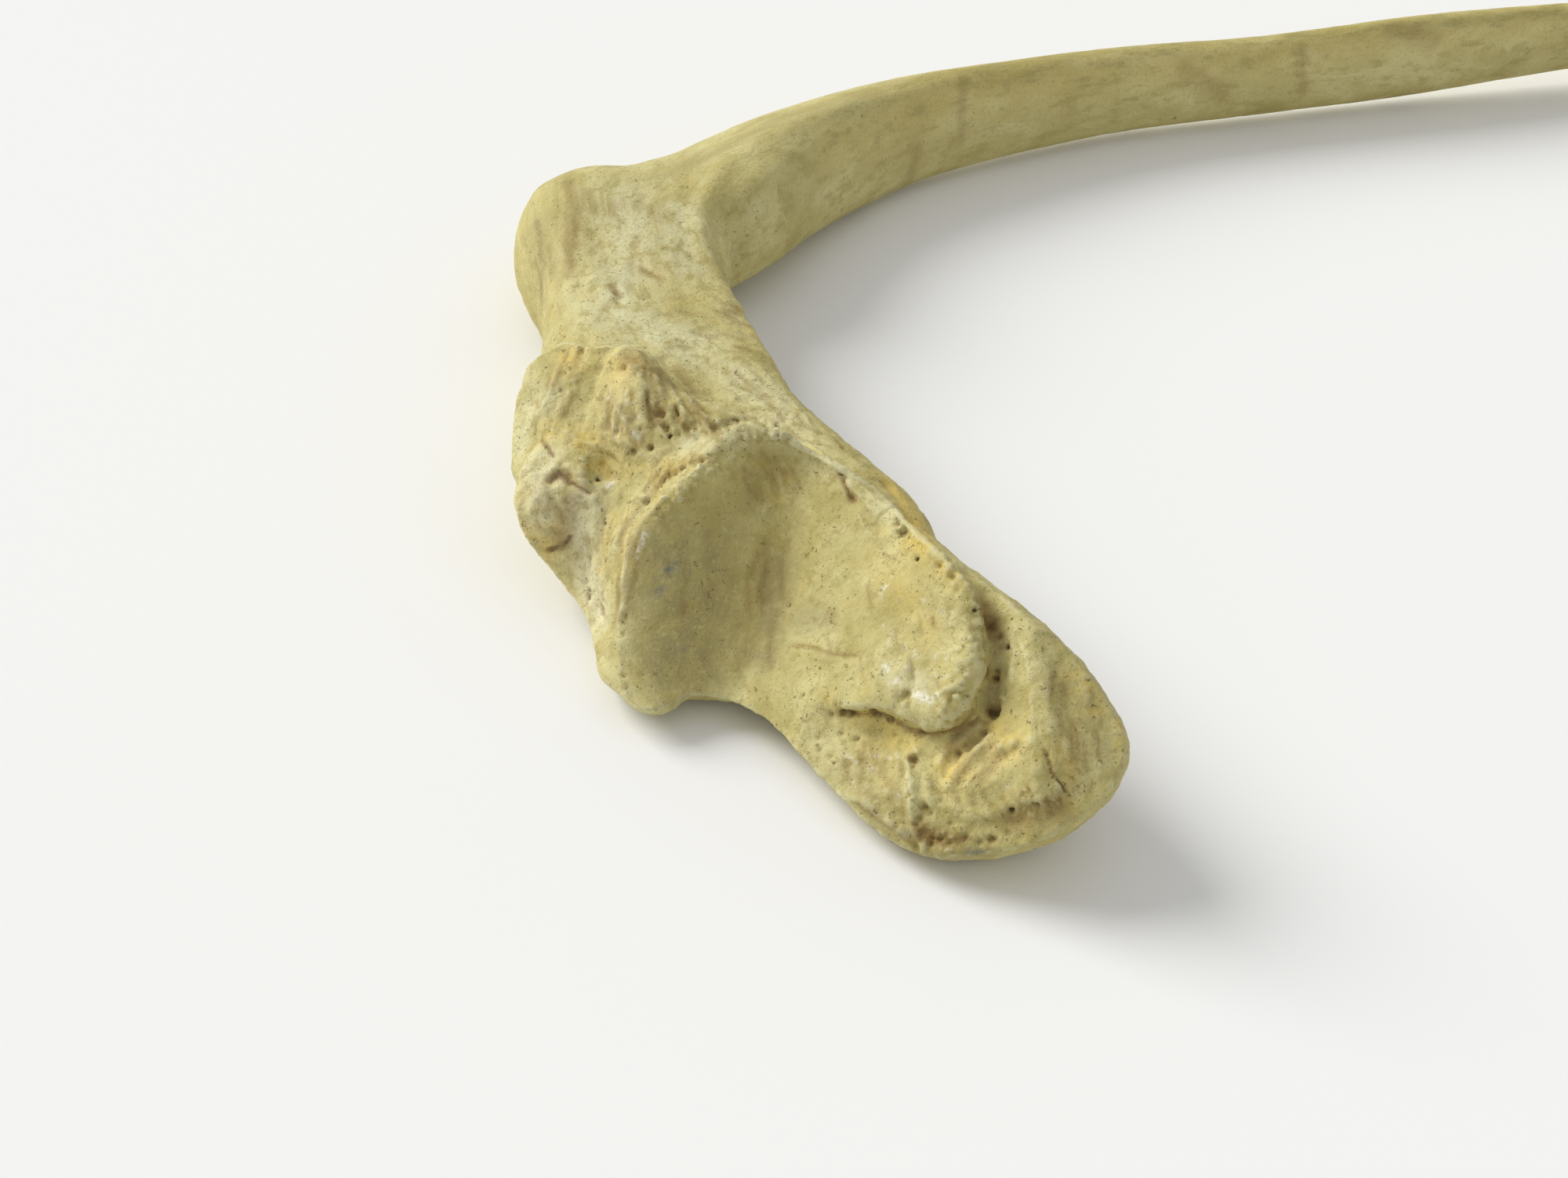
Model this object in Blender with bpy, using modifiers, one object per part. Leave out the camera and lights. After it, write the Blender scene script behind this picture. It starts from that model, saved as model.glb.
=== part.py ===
# Giraffe rib, dry bone, lying on its lower edge on a level floor.
# X runs to the right, Y away from the vertebral end, Z up.
# Sizes are in millimetres until build() makes them metres.
import math

import bmesh
import bpy
import numpy as np
from mathutils import Matrix, Vector
from mathutils.geometry import delaunay_2d_cdt

MM = 0.001

RING_SIDES = 48
FUSE_VOXEL = 1.3
SOFTEN_STEPS = 10
HEAL_STEPS = 3
SHAFT_SOFTEN_STEPS = 14
SHAFT_BEGINS = 100
TRIANGLES = 8600

BONE_COLOUR = (0.47, 0.40, 0.215, 1.0)
BONE_ROUGHNESS = 0.62

# Shaft from below the tubercle to the sternal end:
# x, y, z of the middle, half width across the curve, half height, lean in degrees, squareness
SHAFT = [
    (-28, 60, 18, 24, 15.5, 0, 2.2),
    (-42, 84, 17.5, 20.5, 15.5, 0, 2.3),
    (-47, 108, 16.3, 21.5, 15, 0, 2.8),
    (-51, 128, 15.8, 20.5, 15, 0, 3.1),
    (-53, 148, 15.8, 20.5, 15, 0, 3.4),
    (-52.5, 166, 15.8, 19.5, 15, -8, 3.4),
    (-40.6, 183.6, 15.8, 19.8, 15, -23, 3.6),
    (-28.5, 204.3, 15.6, 15.6, 15, -22, 3.6),
    (-11.3, 226.5, 15.6, 10.8, 15, -15, 3.2),
    (10.5, 248.8, 15.6, 7.6, 15, -6, 2.7),
    (57, 286.8, 14.6, 6.8, 13.6, -2, 2.6),
    (105, 316.3, 14.4, 6.4, 13, 0, 2.5),
    (155.6, 346.6, 15.8, 6.2, 13.7, 0, 2.5),
    (211, 379.8, 17, 6, 11.8, 0, 2.5),
    (269, 412, 18, 6, 11.2, 0, 2.4),
    (328.5, 440, 17.4, 6.4, 11.6, 0, 2.4),
    (389, 465, 15.6, 7.2, 12.2, 0, 2.3),
    (450, 487.5, 14, 8.4, 13.2, 0, 2.2),
    (472.5, 495, 13.4, 7.6, 12.6, 0, 2.1),
]

# Medial web between the shaft and the back of the head, same columns
WEB = [
    (-47, 143, 15.8, 13.5, 14.5, 0, 2.8),
    (-41, 127, 16, 13.5, 14.5, 0, 2.8),
    (-29, 105, 16.5, 13, 14.5, 0, 2.8),
    (-20.5, 88, 17, 13.8, 15, 0, 2.6),
    (-7.5, 74, 17.5, 14, 15.5, 0, 2.2),
    (6.5, 57.5, 18, 14.4, 16, 0, 2.3),
    (16, 40, 17, 11, 15, 0, 2.1),
]

# Lateral swelling of the angle, same columns
ANGLE = [
    (-60, 116, 15, 9, 12, 0, 2.4),
    (-61, 129, 15.6, 12.2, 14.5, 0, 2.6),
    (-62.5, 142, 15.8, 17.8, 15, 0, 2.7),
    (-64, 154, 15.8, 20.8, 15, -2, 2.8),
    (-63.5, 164, 15.8, 20, 15, -4, 2.8),
    (-60.5, 170.5, 15.6, 16, 14.5, -6, 2.7),
    (-57, 177, 15, 10, 12, -6, 2.5),
]

# Knobs: middle, radii, turn about Z in degrees
ANGLE_CORNER = ((-76.2, 165.5, 19.5), (8.5, 8.5, 8), 0)
LATERAL_KNOB = ((-52, 61.5, 20.5), (11, 12, 12), 0)
LOWER_HORN = ((-29, 24, 8.2), (6.5, 6.8, 6.5), 0)
NECK_FILLS = [((-3, 49, 12), (27, 12.5, 10.5), -35), ((-24, 80, 11.5), (30, 15, 10.5), -55)]
HORN_ROOT = ((-31.6, 35, 8), (8, 10, 7), 0)

# Tilted plane of the vertebral end's broad face: middle, direction of s in plan, tilt from upright
FACE_MIDDLE = (-4.8, 39.3, 20.9)
FACE_ALONG = (0.86, -0.51)
FACE_TILT = 42

# Outlines in that plane are in s and t. A tilt is s, t and lift of a point, then the slopes along s and t.
# Outline of the whole broad face
FACE_OUTLINE = [
    (-75, 15), (-76.5, 7), (-73, -1), (-63, -11.5), (-49.5, -19.5), (-33, -25.5), (-24, -33), (-14, -33),
    (-6, -25), (7, -22.5), (24, -26), (41, -29.2), (53, -25.2), (64, -15.6), (70, -3), (69, 8.5),
    (58.6, 15.3), (45, 19.9), (25, 22.5), (7, 25), (-11, 27), (-30, 26), (-43, 24), (-53, 27),
    (-60, 26), (-63, 23), (-70, 22),
]
FACE_FRONT = 8
FACE_BACK = 17
FACE_ROUND = 13

# Left wall of the facet, sloping from the rim to the facet's floor
WALL_OUTLINE = [
    (-14, -28), (-23, -18), (-28.5, -8), (-28, 3), (-24, 12), (-12, 15), (-7, 5), (-6, -8), (-4, -24),
]
WALL_TILT = (-28.5, -8, 8.5, -0.58, -0.15)
WALL_FRONT = 1
WALL_BACK = 9
WALL_ROUND = 5

# Far lobe of the facet, with its overhanging lip
LOBE_OUTLINE = [
    (22, 21), (30, 19.5), (36, 15), (40, 8), (41, 1), (40, -5), (36, -8), (30, -9),
    (24, -11), (18, -12), (8, -16), (-2, -14), (-4, 0), (-2, 14), (10, 20),
]
LOBE_TILT = (30, 0, 8, 0.3, 0)
LOBE_FRONT = 2.5
LOBE_BACK = 6
LOBE_ROUND = 6

# Height of the broad face over the plane, along its named ridges and hollows: s, t, height
FACE_LINES = {
    "rim crest": [
        (-26, 13, 11.5), (-29, 3, 13.2), (-29.5, -9.5, 13.6),
        (-24, -21, 13.2), (-16.5, -29.5, 14), (-8.5, -30.5, 14),
    ],
    "rim inside": [
        (-23.5, 12.5, 9.6), (-26.5, 2, 11.4), (-26, -10.5, 12),
        (-19.5, -22, 12.2), (-9.5, -28, 12),
    ],
    "wall high": [(-19.5, 10.5, 6.6), (-21, -1, 8.4), (-17, -13, 9.2), (-9, -24.5, 9)],
    "wall low": [(-16.5, 12.5, 3.2), (-14, 1, 3.4), (-10, -12, 4.4), (-5.5, -23, 5.6)],
    "valley": [(-17.5, 21.5, -0.5), (-13.5, 17, -1.2), (-8.5, 7, -0.8), (-3.5, -7.5, 0.6), (-1, -21.5, 3)],
    "lobe foot": [(-8.5, 21, -0.4), (-2.5, 12, 0.8), (5, -3, 2.2), (7, -19, 3.6)],
    "lobe middle": [(1, 20.5, 1.8), (12, 9, 4.6), (18, -1, 6), (20, -8.5, 6.8)],
    "lobe high": [(9.5, 21.5, 3.8), (22, 14, 7.6), (30, 3.5, 9.2), (31, -3.5, 9.2)],
    "lobe lip": [
        (14.5, 23, 4.6), (25.5, 20, 8.8), (33.5, 16.5, 10.1), (40, 7.5, 10.1),
        (41.5, 0.5, 9.8), (39, -5, 9.6), (29, -7, 8.7), (18, -12.5, 6.6),
    ],
    "under the lip": [
        (25.5, 22, 5.4), (35.5, 17.5, 4.4), (43, 9, 4.2), (45, -0.5, 5.2),
        (41, -9, 6), (31, -11.5, 5.6), (18.5, -16, 4.9),
    ],
    "groove": [(38, 18, 4.8), (45, 11, 4.1), (48, 3.5, 4.6), (47, -3, 5)],
    "flank ridge": [(37.5, 20.5, 5.4), (46.5, 14, 7.2), (56, 0.5, 9), (61.5, -10, 7.4)],
    "flank": [(47.5, 18.5, 3.6), (58, 10, 5.4), (62.5, 3.5, 5.6), (65, -3, 4.4)],
    "ligament pit": [(43.5, -12, 5.4), (49.5, -5, 5)],
    "below the pit": [(43, -18, 7.4), (50.5, -14, 7.4), (56, -6.5, 7.6)],
    "head ridge": [(36.5, -13.5, 6.8), (41, -18.5, 8.2), (44.5, -23.5, 6.6)],
    "lower face": [(18, -19, 4.8), (28, -20.5, 6.2), (39, -23, 6.4)],
    "lower right": [(49, -19.5, 7.2), (59.5, -12, 6.4)],
    "channel": [(-40, -5.5, 9.4), (-35, -14.5, 9.4), (-28, -21, 10.4)],
    "channel edge": [(-43.5, -13, 6.2), (-32, -23, 6.6)],
    "tubercle crest": [
        (-69.5, 16, 6.5), (-65, 21.5, 7.4), (-58.5, 21, 7.6), (-54.5, 25.5, 9.2),
        (-50, 26.5, 7), (-43.5, 24, 5.6), (-30, 25, 6), (-18.5, 27, 4.8),
    ],
    "main mound": [(-51, 22.5, 11.2), (-49, 17, 12.6), (-47, 10, 10.8)],
    "left mound": [(-61.5, 18.5, 9.2), (-60.5, 11, 9.4)],
    "saddle between the mounds": [(-57, 19, 8.4), (-54.5, 10.5, 8.8)],
    "hollow beside the mound": [(-46.5, 22, 8), (-40, 17, 7.4)],
    "band above the facet": [(-31, 20.5, 7.6), (-35, 10.5, 9.2), (-37, 0, 10.4)],
    "tubercle pit": [(-46.5, 3.5, 8.8), (-44, 2, 8.8)],
    "edge of that pit": [(-50.5, 4, 11.2), (-47.5, -0.5, 11.6), (-43.5, -3.5, 11)],
    "knob": [(-54, -2, 13.4), (-52.5, -7.5, 14.2), (-50, -12, 11.4)],
    "outer side": [(-70.5, 5, 4.6), (-66, -1, 5)],
}
LINE_STEP = 2.5
LINE_REACH = (5, 11)
LINE_LIMIT = (9, 13)
LINE_SOFTEN_STEPS = 3

# Where the bone stands: x, y. Elsewhere the underside stays clear of the floor.
FEET = [(34, 10), (-62, 158), (456, 489)]
FOOT_RADIUS = 26
UNDERSIDE_CLEARANCE = 2.0
FOOT_LEVEL = 0.5


def spline(rows, steps, closed=False):
    """Points along a Catmull-Rom curve through the rows, every column alike."""
    rows = np.array(rows, float)
    if closed:
        ends = np.vstack([rows[-1:], rows, rows[:2]])
    else:
        ends = np.vstack([2 * rows[0] - rows[1], rows, 2 * rows[-1] - rows[-2]])
    t = np.linspace(0, 1, steps, endpoint=False)[:, None]
    spans = [
        0.5 * (2 * b + (c - a) * t + (2 * a - 5 * b + 4 * c - d) * t**2 + (3 * b - a - 3 * c + d) * t**3)
        for a, b, c, d in zip(ends, ends[1:], ends[2:], ends[3:])
    ]
    return np.vstack(spans if closed else [*spans, rows[-1:]])


def loft(bm, stations, steps=8):
    """A closed body of superellipse rings across a path."""
    rows = spline(stations, steps)
    rings = []
    for i, (x, y, z, half_width, half_height, lean, power) in enumerate(rows):
        ahead, behind = rows[min(i + 1, len(rows) - 1)], rows[max(i - 1, 0)]
        along = Vector(ahead[:3] - behind[:3]).normalized()
        across = along.cross(Vector((0, 0, 1))).normalized()
        up = across.cross(along)
        turn = Matrix.Rotation(math.radians(lean), 3, along)
        across, up = turn @ across, turn @ up
        ring = []
        for k in range(RING_SIDES):
            a = 2 * math.pi * k / RING_SIDES
            c, s = math.cos(a), math.sin(a)
            u = half_width * math.copysign(abs(c) ** (2 / power), c)
            v = half_height * math.copysign(abs(s) ** (2 / power), s)
            ring.append(bm.verts.new(Vector((x, y, z)) + across * u + up * v))
        rings.append(ring)
    for a, b in zip(rings, rings[1:]):
        for k in range(RING_SIDES):
            n = (k + 1) % RING_SIDES
            bm.faces.new((a[k], b[k], b[n], a[n]))
    bm.faces.new(rings[0])
    bm.faces.new(rings[-1][::-1])


def blob(bm, centre, radii, turn):
    """An ellipsoid, turned about Z."""
    spin = Matrix.Rotation(math.radians(turn), 4, "Z")
    place = Matrix.Translation(centre) @ spin @ Matrix.Diagonal((*radii, 1))
    bmesh.ops.create_uvsphere(bm, u_segments=32, v_segments=20, radius=1, matrix=place)


def path_distance(p, path):
    """Each point's distance to a polyline."""
    path = np.array(path, float)
    best = np.full(len(p), 1e9)
    for a, b in zip(path, path[1:]):
        d = b - a
        t = np.clip((p - a) @ d / (d @ d), 0, 1)
        best = np.minimum(best, np.linalg.norm(p - (a + t[:, None] * d), axis=1))
    return best


def bump(distance, radius):
    """One on the path, falling smoothly to nothing at the radius."""
    return 0.5 + 0.5 * np.cos(math.pi * np.clip(distance / radius, 0, 1))


def face_axes():
    along = np.array((*FACE_ALONG, 0)) / math.hypot(*FACE_ALONG)
    level = np.array((along[1], -along[0], 0))
    tilt = math.radians(FACE_TILT)
    up = -math.sin(tilt) * level + math.cos(tilt) * np.array((0, 0, 1))
    out = math.cos(tilt) * level + math.sin(tilt) * np.array((0, 0, 1))
    return along, up, out


def cushion(bm, outline, front, back, edge_round, tilt=(0, 0, 0, 0, 0), grid=2.0):
    """A closed pillow on an outline in the face's plane."""
    rim = spline(outline, 5, closed=True)
    s, t = np.meshgrid(np.arange(-84, 84, grid), np.arange(-44, 44, grid))
    inner = np.column_stack([s.ravel(), t.ravel()])
    inner = inner[path_distance(inner, np.vstack([rim, rim[:1]])) > 0.8 * grid]
    flat = [Vector(q) for q in np.vstack([rim, inner])]
    loop = list(range(len(rim)))
    points, _, faces, *_ = delaunay_2d_cdt(flat, [], [loop], 1, 1e-4)
    st = np.array([tuple(q) for q in points])
    depth = path_distance(st, np.vstack([rim, rim[:1]]))
    swell = np.sqrt(1 - (1 - np.clip(depth / edge_round, 0, 1)) ** 2)
    along, up, out = face_axes()
    s0, t0, lift, slope_s, slope_t = tilt
    raised = lift + slope_s * (st[:, :1] - s0) + slope_t * (st[:, 1:] - t0)
    base = np.array(FACE_MIDDLE) + st[:, :1] * along + st[:, 1:] * up + raised * out
    upper = [bm.verts.new(q) for q in base + (swell * front)[:, None] * out]
    under = base - (swell * back)[:, None] * out
    lower = [v if d < 1e-6 else bm.verts.new(q) for v, d, q in zip(upper, depth, under)]
    for face in faces:
        bm.faces.new([upper[k] for k in face])
        bm.faces.new([lower[k] for k in reversed(face)])


def height_field(sites, heights, spots):
    """A smooth surface through the heights at the sites, read at the spots."""

    def spread(a, b):
        return -np.linalg.norm(a[:, None] - b[None], axis=2) ** 1.5

    count = len(sites)
    flat = np.column_stack([np.ones(count), sites])
    system = np.zeros((count + 3, count + 3))
    system[:count, :count] = spread(sites, sites) + 0.6 * np.eye(count)
    system[:count, count:] = flat
    system[count:, :count] = flat.T
    weights = np.linalg.solve(system, np.concatenate([heights, np.zeros(3)]))
    level = np.column_stack([np.ones(len(spots)), spots]) @ weights[count:]
    return spread(spots, sites) @ weights[:count] + level


def shape_face(mesh, p):
    """Moves the front of the vertebral end along the plane's normal onto the named lines."""
    along, up, out = face_axes()
    rows = []
    for line in FACE_LINES.values():
        for a, b in zip(np.array(line, float), np.array(line[1:], float)):
            count = max(1, round(math.dist(a, b) / LINE_STEP))
            rows += [a + (b - a) * k / count for k in range(count)]
        rows.append(np.array(line[-1], float))
    rows = np.array(rows)
    normals = np.empty(len(p) * 3, np.float32)
    mesh.vertex_normals.foreach_get("vector", normals)
    facing = normals.reshape(-1, 3) @ out
    local = p - np.array(FACE_MIDDLE)
    st = np.column_stack([local @ along, local @ up])
    reach = LINE_REACH[1]
    near = (facing > 0) & ((st > rows[:, :2].min(0) - reach) & (st < rows[:, :2].max(0) + reach)).all(1)
    st = st[near]
    gap = np.linalg.norm(st[:, None] - rows[None, :, :2], axis=2).min(1)
    change = height_field(rows[:, :2], rows[:, 2], st) - local[near] @ out
    weight = np.clip((reach - gap) / (reach - LINE_REACH[0]), 0, 1) * np.clip(facing[near] * 3, 0, 1)
    weight *= np.clip((LINE_LIMIT[1] - abs(change)) / (LINE_LIMIT[1] - LINE_LIMIT[0]), 0, 1)
    p[near] += (weight * change)[:, None] * out
    relax(mesh, p, near, LINE_SOFTEN_STEPS)


def relax(mesh, p, chosen, steps):
    """Evens out the chosen points along the mesh's edges."""
    ends = np.empty(len(mesh.edges) * 2, np.int32)
    mesh.edges.foreach_get("vertices", ends)
    a, b = ends.reshape(-1, 2).T
    count = np.bincount(a, minlength=len(p)) + np.bincount(b, minlength=len(p))
    for _ in range(steps):
        for axis in range(3):
            total = np.bincount(a, p[b, axis], len(p)) + np.bincount(b, p[a, axis], len(p))
            p[chosen, axis] += 0.5 * (total / count - p[:, axis])[chosen]


def link(name, mesh, collection):
    obj = bpy.data.objects.new(name, mesh)
    collection.objects.link(obj)
    return obj


def baked(obj, name):
    """The object's mesh with its modifiers applied, as a new mesh. The object is removed."""
    bpy.context.view_layer.update()
    graph = bpy.context.evaluated_depsgraph_get()
    mesh = bpy.data.meshes.new_from_object(obj.evaluated_get(graph))
    mesh.name = name
    bpy.data.objects.remove(obj)
    return mesh


def remeshed(mesh, collection, steps):
    """The mesh as one even skin, smoothed by that many steps."""
    obj = link("skin", mesh, collection)
    fuse = obj.modifiers.new("fuse", "REMESH")
    fuse.mode = "VOXEL"
    fuse.voxel_size = FUSE_VOXEL
    soften = obj.modifiers.new("soften", "SMOOTH")
    soften.factor = 0.5
    soften.iterations = steps
    return baked(obj, "skin")


def fused(collection):
    """Shaft, web, knobs and vertebral end as one skin."""
    bm = bmesh.new()
    loft(bm, SHAFT)
    loft(bm, WEB)
    loft(bm, ANGLE)
    blob(bm, *ANGLE_CORNER)
    blob(bm, *LATERAL_KNOB)
    blob(bm, *LOWER_HORN)
    blob(bm, *HORN_ROOT)
    for fill in NECK_FILLS:
        blob(bm, *fill)
    cushion(bm, FACE_OUTLINE, FACE_FRONT, FACE_BACK, FACE_ROUND)
    cushion(bm, WALL_OUTLINE, WALL_FRONT, WALL_BACK, WALL_ROUND, tilt=WALL_TILT)
    cushion(bm, LOBE_OUTLINE, LOBE_FRONT, LOBE_BACK, LOBE_ROUND, tilt=LOBE_TILT)
    mesh = bpy.data.meshes.new("bodies")
    bm.to_mesh(mesh)
    bm.free()
    return remeshed(mesh, collection, SOFTEN_STEPS)


def points_of(mesh):
    p = np.empty(len(mesh.vertices) * 3, np.float32)
    mesh.vertices.foreach_get("co", p)
    return p.reshape(-1, 3).astype(float)


def set_points(mesh, p):
    mesh.vertices.foreach_set("co", p.astype(np.float32).ravel())
    mesh.update()


def settle(p):
    """Draws the underside up off the floor, except at the feet, which are cut level."""
    nearest = np.min([np.hypot(p[:, 0] - x, p[:, 1] - y) for x, y in FEET], axis=0)
    clearance = FOOT_LEVEL + UNDERSIDE_CLEARANCE * (1 - bump(nearest, FOOT_RADIUS))
    below = p[:, 2] < clearance
    p[below, 2] = clearance[below] + 0.08 * (p[below, 2] - clearance[below])
    p[:, 2] = np.maximum(p[:, 2], FOOT_LEVEL)


def bone_material():
    material = bpy.data.materials.new("bone")
    material.use_nodes = True
    shader = material.node_tree.nodes["Principled BSDF"]
    shader.inputs["Base Color"].default_value = BONE_COLOUR
    shader.inputs["Roughness"].default_value = BONE_ROUGHNESS
    return material


def build():
    for obj in list(bpy.data.objects):
        bpy.data.objects.remove(obj)
    parts = bpy.data.collections.new("giraffe rib")
    bpy.context.scene.collection.children.link(parts)
    skin = fused(parts)
    p = points_of(skin)
    shape_face(skin, p)
    set_points(skin, p)
    skin = remeshed(skin, parts, HEAL_STEPS)
    p = points_of(skin)
    settle(p)
    set_points(skin, p)
    skin.calc_loop_triangles()
    rib = link("rib", skin, parts)
    on_shaft = rib.vertex_groups.new(name="shaft")
    for index in np.flatnonzero(p[:, 1] > SHAFT_BEGINS).tolist():
        on_shaft.add([index], min(1, (p[index, 1] - SHAFT_BEGINS) / 20), "REPLACE")
    soften = rib.modifiers.new("soften shaft", "SMOOTH")
    soften.factor = 0.5
    soften.iterations = SHAFT_SOFTEN_STEPS
    soften.vertex_group = "shaft"
    thin = rib.modifiers.new("thin", "DECIMATE")
    thin.ratio = TRIANGLES / len(skin.loop_triangles)
    mesh = baked(rib, "rib")
    p = points_of(mesh)
    low, high = p.min(0), p.max(0)
    shift = np.array([(low[0] + high[0]) / 2, (low[1] + high[1]) / 2, low[2]])
    set_points(mesh, (p - shift) * MM)
    mesh.polygons.foreach_set("use_smooth", [True] * len(mesh.polygons))
    mesh.materials.append(bone_material())
    return link("rib", mesh, parts), shift


RIB, SHIFT = build()
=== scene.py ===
import math
import bmesh
import bpy
import numpy as np
from mathutils import Matrix, Vector
from mathutils.bvhtree import BVHTree


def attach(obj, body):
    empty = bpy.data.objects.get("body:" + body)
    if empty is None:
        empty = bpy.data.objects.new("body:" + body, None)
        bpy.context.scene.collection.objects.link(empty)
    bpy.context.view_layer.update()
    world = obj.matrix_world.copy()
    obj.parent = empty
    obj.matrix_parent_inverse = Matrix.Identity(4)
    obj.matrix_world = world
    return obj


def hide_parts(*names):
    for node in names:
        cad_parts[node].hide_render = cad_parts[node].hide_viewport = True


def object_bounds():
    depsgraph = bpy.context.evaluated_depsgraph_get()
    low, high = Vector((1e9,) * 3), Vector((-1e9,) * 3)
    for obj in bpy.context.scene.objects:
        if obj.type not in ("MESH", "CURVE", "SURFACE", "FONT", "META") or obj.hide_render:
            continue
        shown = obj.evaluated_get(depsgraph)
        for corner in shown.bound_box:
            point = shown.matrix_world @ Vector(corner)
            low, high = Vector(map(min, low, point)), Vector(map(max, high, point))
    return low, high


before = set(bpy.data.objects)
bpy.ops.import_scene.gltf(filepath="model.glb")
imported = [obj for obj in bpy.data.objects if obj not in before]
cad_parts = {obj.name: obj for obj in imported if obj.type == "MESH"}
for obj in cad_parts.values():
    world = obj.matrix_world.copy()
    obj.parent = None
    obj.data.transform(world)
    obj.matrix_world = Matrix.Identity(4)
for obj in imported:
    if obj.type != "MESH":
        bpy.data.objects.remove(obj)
cadLow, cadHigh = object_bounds()
print("frame loaded:", sorted(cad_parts))
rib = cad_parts["rib"]
root = "root"
mm = 0.001


def linear(hexColour):
    # sRGB hex to the linear values that a shader socket takes
    parts = [int(hexColour[i:i + 2], 16) / 255 for i in (0, 2, 4)]
    return tuple(c / 12.92 if c <= 0.04045 else ((c + 0.055) / 1.055) ** 2.4 for c in parts) + (1.0,)


def addNode(tree, kind, settings=(), links=()):
    # one node: settings are its properties or plain input values, links name an input and its source
    node = tree.nodes.new(kind)
    for key, value in dict(settings).items():
        if isinstance(key, str) and hasattr(node, key):
            setattr(node, key, value)
        else:
            node.inputs[key].default_value = value
    for key, source in dict(links).items():
        tree.links.new(source, node.inputs[key])
    return node


def addObject(name, data):
    thing = bpy.data.objects.new(name, data)
    bpy.context.scene.collection.objects.link(thing)
    return thing


camera = {
    "lens": 45.0,                              # mm, on a 36 mm wide sensor
    "sensor": 36.0,
    "fromCorner": (76.8, -235.15, 267.05),     # mm, from the low corner of the bone's box
    "tiltDown": 41.1,                          # degrees below the horizon
    "roll": 9.85,                              # degrees, the right side lifted
    "picture": (2000, 1502),                   # pixels of the photograph
}


def makeCamera():
    data = bpy.data.cameras.new("camera")
    data.lens = camera["lens"]
    data.sensor_width = camera["sensor"]
    data.clip_start = 0.01
    thing = addObject("camera", data)
    tilt = math.radians(camera["tiltDown"])
    roll = math.radians(camera["roll"])
    forward = Vector((0, math.cos(tilt), -math.sin(tilt)))
    flatUp = Vector((0, math.sin(tilt), math.cos(tilt)))
    right = math.cos(roll) * Vector((1, 0, 0)) + math.sin(roll) * flatUp
    up = -math.sin(roll) * Vector((1, 0, 0)) + math.cos(roll) * flatUp
    place = cadLow + Vector(camera["fromCorner"]) * mm
    thing.matrix_world = Matrix((
        (right.x, up.x, -forward.x, place.x),
        (right.y, up.y, -forward.y, place.y),
        (right.z, up.z, -forward.z, place.z),
        (0, 0, 0, 1)))
    bpy.context.scene.camera = thing
    return place, right, up, forward


eye, eyeRight, eyeUp, eyeForward = makeCamera()
pixelFocus = camera["lens"] / camera["sensor"] * camera["picture"][0]


def pixelRay(x, y):
    # the direction in which the camera sees pixel x, y of the photograph
    across = (x - camera["picture"][0] / 2) / pixelFocus
    down = (y - camera["picture"][1] / 2) / pixelFocus
    return (eyeForward + across * eyeRight - down * eyeUp).normalized()


bone = {
    "voxel": 0.62,          # mm, grid of the dense working mesh
    "quickVoxel": 0.85,
    "smoothing": 12,        # steps that take the flat facets off
    "triangles": 190000,    # after thinning, so that it stays under 200,000
    "hollowSteps": ((8, 1.7), (24, 0.5)),    # smoothing steps, share of what they find
}


def readPoints(mesh):
    flat = np.empty(len(mesh.vertices) * 3, dtype=np.float32)
    mesh.vertices.foreach_get("co", flat)
    return flat.reshape(-1, 3).astype(np.float64)


def readNormals(mesh):
    flat = np.empty(len(mesh.vertices) * 3, dtype=np.float32)
    mesh.vertex_normals.foreach_get("vector", flat)
    return flat.reshape(-1, 3).astype(np.float64)


def writePoints(mesh, points):
    mesh.vertices.foreach_set("co", points.astype(np.float32).ravel())
    mesh.update()


def plainMesh(thing):
    # takes the shape that the modifiers give as a mesh of its own, and drops the object
    bpy.context.view_layer.update()
    seen = thing.evaluated_get(bpy.context.evaluated_depsgraph_get())
    result = bpy.data.meshes.new_from_object(seen)
    thing.modifiers.clear()
    bpy.data.objects.remove(thing)
    return result


def withModifiers(mesh, name, steps):
    thing = addObject(name, mesh)
    for kind, values in steps:
        modifier = thing.modifiers.new(kind, kind)
        for key, value in values.items():
            setattr(modifier, key, value)
    return plainMesh(thing)


def workingMesh():
    mesh = rib.data.copy()
    shape = bmesh.new()
    shape.from_mesh(mesh)
    bmesh.ops.remove_doubles(shape, verts=shape.verts, dist=1e-6)
    shape.to_mesh(mesh)
    shape.free()
    for layer in list(mesh.attributes):
        if layer.name.startswith(("custom", "UVMap", "sharp")):
            mesh.attributes.remove(layer)
    voxel = bone["voxel"]
    return withModifiers(mesh, "working", (
        ("SUBSURF", {"levels": 1, "render_levels": 1}),
        ("REMESH", {"mode": "VOXEL", "voxel_size": voxel * mm}),
        ("SMOOTH", {"factor": 0.5, "iterations": bone["smoothing"]})))


surface = workingMesh()
print("working mesh:", len(surface.vertices), "points")

# Each stroke is (radius mm, height mm, shape, pixels). The pixels x, y of the photograph are
# seen from the camera, and the stroke is laid where the line of sight meets the bone.
# Shapes: "round" is a soft bump and "crease" a sharp line.


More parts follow.
